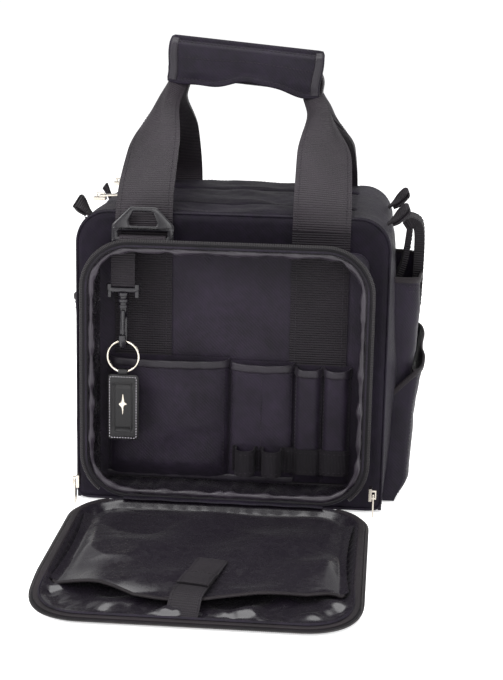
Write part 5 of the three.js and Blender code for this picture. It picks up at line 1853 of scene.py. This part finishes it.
# ------------------------------------------------------------------------------------ side pockets
@dataclass
class SidePockets:
    """The deep pocket with its slip pocket and closure on the right, and the flat one on the left."""

    cloth: float = 1.4
    half: float = 75.0
    slip_front: float = 122.0
    return_foot: float = 97.0
    root_thick: float = 5.0
    strap_thick: float = 9.0

    def build(self) -> None:
        """Make every side pocket."""
        self.right()
        self.slip()
        self.closure("closure_root", "bag")
        self.closure("closure_strap", "closure_strap")
        self.left()

    def face(self, z: Array, offset: float) -> Array:
        """The right pocket's face, which leans out towards its mouth."""
        edge = node_box("right_pocket")[1][0]
        return edge + offset + np.interp(z, [1.0, 20.0, 90.0, 165.0], [-19.0, -12.0, -8.0, 0.0])

    def slack(self, u: Array, w: Array, z: Array, seed: int, soft: tuple[float, float],
              sharp: tuple[float, float, float], foot: float = 0.15) -> Array:
        """Unevenness of a pocket's face that fades at its side seams and its foot."""
        return crumpled(u * 75, z, seed, soft, sharp) * (1 - u**8) * ramp(w, 0, foot)

    def bind(self, piece: Piece, points: Array, thick: float = 1.4, tall: float = 2.4) -> None:
        """Add the binding on a pocket's mouth and two rows of stitches under it."""
        piece.tube(points[:, -1], oval(thick, tall, 12, 3.0), GROSGRAIN)
        piece.seams(points, 0.2, [(slice(2, -2), row) for row in (-3, -5)])

    def right(self) -> None:
        """The deep pocket: side walls and a face that swells and whose mouth stands open."""
        low, high = node_box("right_pocket")
        u, w = spread((-1, 1, 100), (0, 1, 80))
        z = low[2] + w * (high[2] - low[2]) - 4.0 * (1 - u**2) * ramp(w, 0.85, 1.0)
        box = (1 - np.abs(u) ** 12) ** 0.5
        depth = (self.face(z, 0.0) - low[0]) * box * ramp(w, -0.04, 0.05) ** 0.5
        soft = self.slack(u, w, z, 121, (60.0, 1.4), (48.0, 1.6, 1.2))
        x = low[0] + 0.3 + depth + np.clip(soft, -2.5, 2.0) * box
        y = self.half * np.sign(u) * np.abs(u) ** 0.96
        points = lay(x, y, z)
        piece = Piece("right_pocket_cloth").shell(points, NYLON, self.cloth, uv=pair(y + x, z))
        self.bind(piece, points, 1.5, 2.6)
        sole_x, sole_y = spread((low[0], low[0] + 7.5, 8), (-self.half, self.half, 40))
        piece.shell(lay(sole_x, sole_y, low[2] + 0.2)[:, ::-1], NYLON, 1.2)
        piece.build("bag", "nylon", ("right_pocket",))

    def slip(self) -> None:
        """The slip pocket on its face, with a slanted bound mouth that returns on the front wall."""
        low, high = node_box("slip_pocket")
        u, w = spread((-1, 1, 90), (0, 1, 60))
        front, rear = self.slip_front, high[2]
        z = low[2] + w * (front + (rear - front) * (u + 1) / 2 - low[2])
        gap = 1.9 + 6.6 * (1 - np.abs(u) ** 8) ** 0.6 * ramp(w, -0.05, 0.12)
        soft = self.slack(u, w, z, 131, (50.0, 1.0), (40.0, 1.2, 1.0), 0.2)
        x = self.face(z, gap) + np.clip(soft, -1.2, 1.6) + 1.2 * ramp(w, 0.8, 1.0) * (1 - u**4)
        y = self.half * 0.985 * u
        points = lay(np.where(np.abs(u) > 0.985, x - 1.2, x), y, z)
        piece = Piece("slip_pocket_cloth").shell(points, NYLON, self.cloth, uv=pair(y, z))
        self.bind(piece, points)
        piece.seams(points, 0.2, [(column, slice(2, -2)) for column in (2, -3)])
        a, w = spread((0, 1, 24), (0, 1, 40))
        z = low[2] + w * (self.return_foot + (front - self.return_foot) * a - low[2])
        wall = node_box("right_pocket")[0][0]
        x = wall + 0.5 + a * (self.face(z, 2.4) - wall)
        bulge = 1.6 * np.sin(a * math.pi) ** 0.5 * ramp(w, 0.1, 0.6)
        y = -self.half - 1.4 - bulge + 0.5 * ripple(x, z, 137, 26.0, 1.0)
        wrap = lay(x, y, z)
        piece.shell(wrap, NYLON, 1.1, uv=pair(x, z))
        piece.tube(wrap[:, -1], oval(1.3, 2.4, 12, 3.0), GROSGRAIN)
        piece.build("bag", "nylon", ("slip_pocket",))

    def closure(self, node: str, body: str) -> None:
        """Half of the webbing closure: the part sewn to the wall, or the part that arches over.

        Args:
            node: the CAD node.
            body: what it rides on.
        """
        low, high = node_box(node)
        root_low, root_high = node_box("closure_root")
        wall, top, crest = root_low[0] + 1.1, root_high[2], root_high[0]
        if node == "closure_root":
            line = [[wall + 9.0, 0, top - 54.0], [wall + 14.0, 0, top - 38.0], [wall + 16.5, 0, top - 20.0],
                    [wall + 17.0, 0, top - 7.0], [crest + 0.5, 0, top + 1.2]]
            thick, rows = self.root_thick, (3, 10)
        else:
            line = [[crest - 1.6, 0, top + 0.4], [crest + 4.5, 0, top + 3.6], [high[0] - 2.4, 0, top - 2.0],
                    [high[0] + 0.2, 0, top - 18.0], [high[0] + 0.2, 0, low[2] + 32.0],
                    [high[0] - 0.6, 0, low[2]]]
            thick, rows = self.strap_thick, (-4, -12)
        points = ribbon(spline(line, 50), np.array([0.0, (high[1] - low[1]) / 2, 0.0]), 18)
        v = np.linspace(-1, 1, 18)[None]
        points[..., 0] += 0.4 * np.sin(v * 3.0) - 0.5 * np.abs(v) ** 6
        points = faced(points, (25, 9), (1, 0, 0))
        piece = Piece(node + "_webbing").shell(points, SHADED_FLAT_WEBBING, thick)
        piece.seams(points, 0.2, [(slice(1, -1), column) for column in (2, -3)])
        piece.seams(points, 0.2, [(row, slice(2, -2)) for row in rows])
        piece.build(body, "webbing", (node,))

    def left(self) -> None:
        """The flat pocket on the left side."""
        low, high = node_box("left_pocket")
        u, w = spread((-1, 1, 90), (0, 1, 70))
        z = low[2] + w * (high[2] - low[2]) - 2.5 * (1 - u**2) * ramp(w, 0.85, 1.0)
        depth = (high[0] - low[0]) * (1 - np.abs(u) ** 10) ** 0.5 * ramp(w, -0.03, 0.1) ** 0.6
        soft = self.slack(u, w, z, 141, (55.0, 1.2), (46.0, 1.2, 1.1))
        x = high[0] - 0.4 - depth - np.clip(soft, -1.5, 2.0)
        y = -self.half * u
        points = lay(x, y, z)
        piece = Piece("left_pocket_cloth").shell(points, NYLON, self.cloth, uv=pair(y, z))
        self.bind(piece, points)
        piece.build("bag", "nylon", ("left_pocket",))


# ------------------------------------------------------------------------------------ hardware
@dataclass
class Hardware:
    """Shoulder strap rings and their loops, zip end tabs, key strap, snap hook, ring and fob."""

    plate: float = 4.2
    bevel: float = 0.9
    tab_roll: float = 30.0
    lean: float = 5.0
    loop_radius: float = 4.3
    webbing: float = 1.2
    wire_gap: float = 0.62
    slot_border: tuple[Sequence[Place], Sequence[Place]] = (
        ((-27.0, -1.6), (27.0, -1.6), (27.2, 11.6), (-27.2, 11.6)),
        ((-21.5, 2.6), (21.5, 2.6), (21.5, 8.2), (-21.5, 8.2)),
    )
    eye_border: tuple[Sequence[Place], Sequence[Place]] = (
        ((-27.2, 9.0), (27.2, 9.0), (27.0, 13.5), (11.5, 29.0), (-11.5, 29.0), (-27.0, 13.5)),
        ((-11.5, 12.6), (11.5, 12.6), (12.4, 16.5), (8.4, 25.2), (-8.4, 25.2), (-12.4, 16.5)),
    )

    def build(self) -> None:
        """Make every piece of hardware that the CAD nodes don't already show."""
        for end, facing in (("front", -1.0), ("rear", 1.0)):
            self.ring_loop(end, facing)
            self.triangle(end, facing)
            for side in ("left", "right"):
                self.zip_tab(end, side)
        self.key_strap()
        self.bracket()
        self.hook()
        self.split_ring()
        self.fob()
        self.dress()

    def triangle(self, end: str, facing: float) -> None:
        """A moulded strap ring: a flat plate with a slot below and a small peaked eye above.

        Each hole's border is a strip between two outlines, bevelled at both of its edges.

        Args:
            end: front or rear.
            facing: -1 for the front, 1 for the rear.
        """
        node = f"triangle_ring_{end}"
        low, high = node_box(node)
        pivot = joint_place(f"{end}_ring_hinge")
        lean = math.radians(self.lean) * facing
        across = np.array([0.0, 0.06, 0.2, 0.5, 0.8, 0.94, 1.0])[:, None, None]
        bevel = np.array([1.0, 0.35, 0.0, 0.0, 0.0, 0.35, 1.0])[:, None] * self.bevel
        piece = Piece(f"{node}_moulding")
        for border in (self.slot_border, self.eye_border):
            rims = [resample(lay(*np.array(line).T, 0.0), 96, True)[:, :2] for line in border]
            outer, inner = [(np.roll(rim, 1, 0) + 2 * rim + np.roll(rim, -1, 0)) / 4 for rim in rims]
            flat = outer[None] + across * (inner - outer)[None]
            height, front = flat[..., 1], -facing * (self.plate / 2 - bevel)
            y = pivot[1] - height * math.sin(lean) - front
            z = pivot[2] + height * math.cos(lean)
            points = lay((low[0] + high[0]) / 2 + flat[..., 0], y, z)
            points = faced(points, (3, 10), (0, facing, 0), True)
            piece.shell(points, PLASTIC, self.plate - 2 * np.broadcast_to(bevel, height.shape), wrap_v=True)
        piece.build(f"{end}_ring", "plastic", (node,))

    def ring_loop(self, end: str, facing: float) -> None:
        """The webbing that holds a strap ring: round its bar and down behind the binding.

        Args:
            end: front or rear.
            facing: -1 for the front, 1 for the rear.
        """
        low, high = node_box(f"ring_loop_{end}")
        _, y, z = joint_place(f"{end}_ring_hinge")
        radius = self.loop_radius
        arc = np.linspace(0.0, math.radians(292.0), 40)
        tail = lay(0.0, y - facing * radius, np.array([low[2] + 0.2, z + 0.5]))
        curve = lay(0.0, y - facing * radius * np.cos(arc), z + radius * np.sin(arc))
        rows = resample(np.vstack([tail, curve]), 60)
        points = ribbon(rows, np.array([(high[0] - low[0]) / 2, 0.0, 0.0]), 16)
        points[..., 0] += (low[0] + high[0]) / 2
        points = faced(points, (40, 8), points[40, 8] - np.array([points[40, 8, 0], y, z]))
        piece = Piece(f"ring_loop_{end}_webbing").shell(points, WEBBING, self.webbing)
        piece.seams(points, 0.15, [(slice(2, -2), column) for column in (1, -2)], pitch=3.0)
        piece.build("bag", "webbing", (f"ring_loop_{end}",))

    def zip_tab(self, end: str, side: str) -> None:
        """A folded webbing tab at the end of a top zip, standing out past the shoulder.

        Args:
            end: front or rear.
            side: left or right.
        """
        node = f"{end}_zip_tab_{side}"
        low, high = node_box(node)
        left = side == "left"
        sign = -1.0 if left else 1.0
        inner, outer = (high[0], low[0]) if left else (low[0], high[0])
        top, tip = high[2], -1.5 if left else 3.0
        share = {"right": 1.0, "left": 0.72 if end == "front" else 0.4}[side]
        span = abs(outer - inner) * share
        steps = ((0.45, -5.6), (0.8, 0.8 * tip), (0.97, tip), (0.98, -1.6), (0.7, -6.4), (0.3, -13.5))
        line = [[inner + sign * 1.0, 0, top - 13.0]]
        line = spline(line + [[inner + sign * out * span, 0, top + rise] for out, rise in steps], 60)
        reach = np.abs(line[:, 0] - outer)
        taper = np.sqrt(np.clip(1 - (1 - np.clip(reach / 9.0, 0, 1)) ** 2.2, 0.4, 1.0))
        half = 0.6 * (high[1] - low[1]) / 2 * taper * (1.5 if left and end == "front" else 1.0)
        roll = np.radians(self.tab_roll) * ramp(np.abs(line[:, 0] - inner), 2.0, 12.0)
        width = np.stack([-sign * 0.45 * np.sin(roll), np.cos(roll), np.sin(roll)], axis=1)
        points = ribbon(line, half[:, None] * width, 16)
        points[..., 1] += (low[1] + high[1]) / 2
        points = faced(points, (12, 8), UP)
        piece = Piece(node + "_webbing").shell(points, SHADED_FLAT_WEBBING, 1.8)
        lines = [(slice(2, 26), 2), (slice(2, 26), -3), (8, slice(3, -3))]
        piece.seams(points, 0.15, lines, pitch=2.8)
        piece.build("bag", "webbing", (node,))

    def key_strap(self) -> None:
        """The strap that the snap hook hangs from, looped through its bracket."""
        low, high = node_box("key_strap")
        z = np.linspace(low[2], high[2] - 0.5, 40)[:, None]
        x = (low[0] + high[0]) / 2 + np.linspace(-1, 1, 12)[None] * (high[0] - low[0]) / 2
        piece = Piece("key_strap_webbing")
        for offset in (-1.05, 1.05):
            y = (low[1] + high[1]) / 2 + offset - 0.3 * np.sin((z - z[0]) / 9.0)
            piece.shell(faced(lay(x, y, z), (5, 5), (0, offset, 0)), SHADED_FLAT_WEBBING, 1.0)
        across = np.linspace(low[0] + 2, high[0] - 2, 20)
        piece.stitches(lay(across, low[1] - 0.2, low[2] + 9.0), FRONT, pitch=2.8)
        piece.build("key_strap", "webbing", ("key_strap",))

    def bracket(self) -> None:
        """The hook's moulded bracket: a bar with two ears, and two pegs below."""
        low, high = node_box("swivel_bracket")
        cx, cy = (low[0] + high[0]) / 2, (low[1] + high[1]) / 2
        half = (high[0] - low[0]) / 2 - 1.6
        bar, ear = high[2] - 6.0, high[2] - 1.6
        outline = spline([[-half, 0, ear], [-half, 0, bar + 1], [-half + 1.5, 0, bar - 0.4],
                          [0, 0, bar - 0.6], [half - 1.5, 0, bar - 0.4], [half, 0, bar + 1],
                          [half, 0, ear]], 60)
        piece = Piece("swivel_bracket_moulding")
        piece.tube(outline + np.array([cx, cy, 0]), oval(2.3, 2.7, 14, 3.0), PLASTIC, up=REAR)
        for sign in (-1.0, 1.0):
            peg = lay(cx + sign * half, cy, np.array([bar - 0.5, low[2] + 0.2]))
            piece.tube(resample(peg, 8), oval(2.1, 2.3, 12, 2.6), PLASTIC, up=REAR)
        piece.build("key_strap", "plastic", ("swivel_bracket",))

    def hook(self) -> None:
        """The ribbed barrel and the hook, with its sprung gate."""
        low, high = node_box("snap_hook")
        cx, cy = joint_place("hook_swivel")[:2]
        top, foot, toe = high[2], high[2] - 14.0, low[2]
        levels = np.array([0, .6, 2.8, 3.4, 3.6, 5.4, 5.6, 6.2, 8.4, 9.0, 9.2, 11.0, 11.2, 13.4, 14.0])
        radii = np.array([3.6, 4.9, 4.9, 4.3, 3.4, 3.4, 4.3, 4.9, 4.9, 4.3, 3.4, 3.4, 4.3, 4.3, 3.0])
        piece = Piece("snap_hook_moulding")
        piece.tube(lay(cx, cy, top - levels), oval(1.0, 1.0, 28), PLASTIC, up=REAR, swell=radii)
        bow = [(0, foot + 2), (0.6, foot - 3), (4.6, foot - 8), (5.5, foot - 16), (5.2, toe + 7),
               (3.0, toe + 2.7), (0, toe + 1.9), (-3.4, toe + 3.0), (-5.4, toe + 7.5), (-5.6, toe + 12.6)]
        line = spline([[cx, cy + out, z] for out, z in bow], 70)
        piece.tube(line, oval(2.1, 3.1, 14, 2.6), PLASTIC, up=(1, 0, 0))
        piece.build("snap_hook", "plastic", ("snap_hook",))
        (_, _, heel), (_, _, head) = node_box("hook_gate")
        gate = [(-2.9, head - 0.8), (-4.2, head - 7), (-5.6, heel + 5), (-5.8, heel + 0.9)]
        lever = Piece("hook_gate_moulding")
        line = spline([[cx, cy + out, z] for out, z in gate], 30)
        lever.tube(line, oval(1.2, 2.1, 12, 2.6), PLASTIC, up=(1, 0, 0))
        lever.build("hook_gate", "plastic", ("hook_gate",))

    def split_ring(self) -> None:
        """A ring of two turns of flat wire: a helix of two turns a wire apart."""
        low, high = node_box("split_ring")
        cx, cy, cz = (low + high) / 2
        radius = (high[0] - low[0]) / 2 - 1.2
        t = np.linspace(0.12, 2.0 * math.tau - 0.12, 180)
        slide = self.wire_gap * np.tanh((t - math.tau) * 1.6)
        path = lay(cx + radius * np.sin(t), cy + slide, cz + radius * np.cos(t))
        piece = Piece("split_ring_wire").tube(path, oval(0.85, 0.55, 12, 2.6), CHROME, up=REAR)
        piece.build("split_ring", "chrome", ("split_ring",))

    def fob(self) -> None:
        """The leather fob: edge-stitched plate, raised panel, plain lozenge badge and its loop."""
        low, high = node_box("key_fob")
        cx, cy, cz = joint_place("key_fob_swing")
        foot, top = low[2], high[2] - 6.0
        x, z, out = plan_grid(41, 61, (low[0], high[0]), (foot, top), 3.4, 3.4)
        swell = 0.9 * (1 - ramp(out, 0.9, 1.0)) - 0.5 * (ramp(out, 0.60, 0.66) - ramp(out, 0.70, 0.76))
        piece = Piece("key_fob_leather")
        piece.shell(lay(x, cy - (0.7 + swell), z), LEATHER, 1.0)
        piece.shell(lay(x, cy + (0.7 + swell), z)[::-1], LEATHER, 0.9)
        edge = rounded_loop(low[0] + 1.8, high[0] - 1.8, foot + 1.8, top - 1.8, 1.6, 1.6, 160)
        path = lay(edge[:, 0], cy - 1.72, edge[:, 1])
        piece.stitches(path, FRONT, PALE_THREAD, 1.5, 2.4, 0.3, closed=True)
        panel = rounded_loop(low[0] + 6.4, high[0] - 6.4, foot + 7.5, top - 7.5, 1.6, 1.6, 140)
        path = lay(panel[:, 0], cy - 1.6, panel[:, 1])
        piece.tube(path, oval(0.5, 0.45, 8), LEATHER, up=FRONT, closed=True)
        arc = np.linspace(math.radians(-70), math.radians(250), 34)
        ring = lay(cx, cy + 3.0 * np.cos(arc), cz + 3.0 * np.sin(arc))
        strap = ribbon(ring, np.array([4.0, 0, 0]), 10)
        piece.shell(faced(strap, (10, 5), (0, math.cos(arc[10]), math.sin(arc[10]))), LEATHER, 1.0)
        height = np.linspace(-9.0, 9.0, 40)
        width = 0.35 + 2.3 * np.exp(-(height / 2.0) ** 2) + 0.8 * (1 - (height / 9.2) ** 2)
        badge = lay(cx, cy - 1.8, (foot + top) / 2 + 3.0 + height)
        piece.tube(badge, oval(1.0, 1.0, 12), CHROME, up=FRONT, swell=pair(width, 0.55))
        piece.build("key_fob", "leather", ("key_fob",))

    def dress(self) -> None:
        """Give each CAD node that still shows its finish."""
        for node in ("front_zip_slider", "front_zip_pull", "rear_zip_slider", "rear_zip_pull",
                     "flap_slider_left", "flap_slider_right", "flap_pull_left", "flap_pull_right"):
            self.repaint(node, CHROME)
        self.repaint("base_board", BOARD)

    def repaint(self, node: str, finish: Finish) -> None:
        """Put a finish on a CAD node.

        Args:
            node: the node.
            finish: its finish.
        """
        obj = frame["nodes"][node]
        for entry in obj.material_slots:
            entry.material = finish.material()
        if not obj.material_slots:
            obj.data.materials.append(finish.material())


def main() -> None:
    """Build the studio and each sub-assembly in order."""
    logging.basicConfig(level=logging.INFO, format="%(name)s: %(message)s")
    for part in (Studio(), MainBody(), OrganizerFrame(), OrganizerPockets(), CarryStraps(), Flap(),
                 SidePockets(), Hardware()):
        LOG.info("building %s", type(part).__name__)
        part.build()


if __name__ == "__main__":
    main()
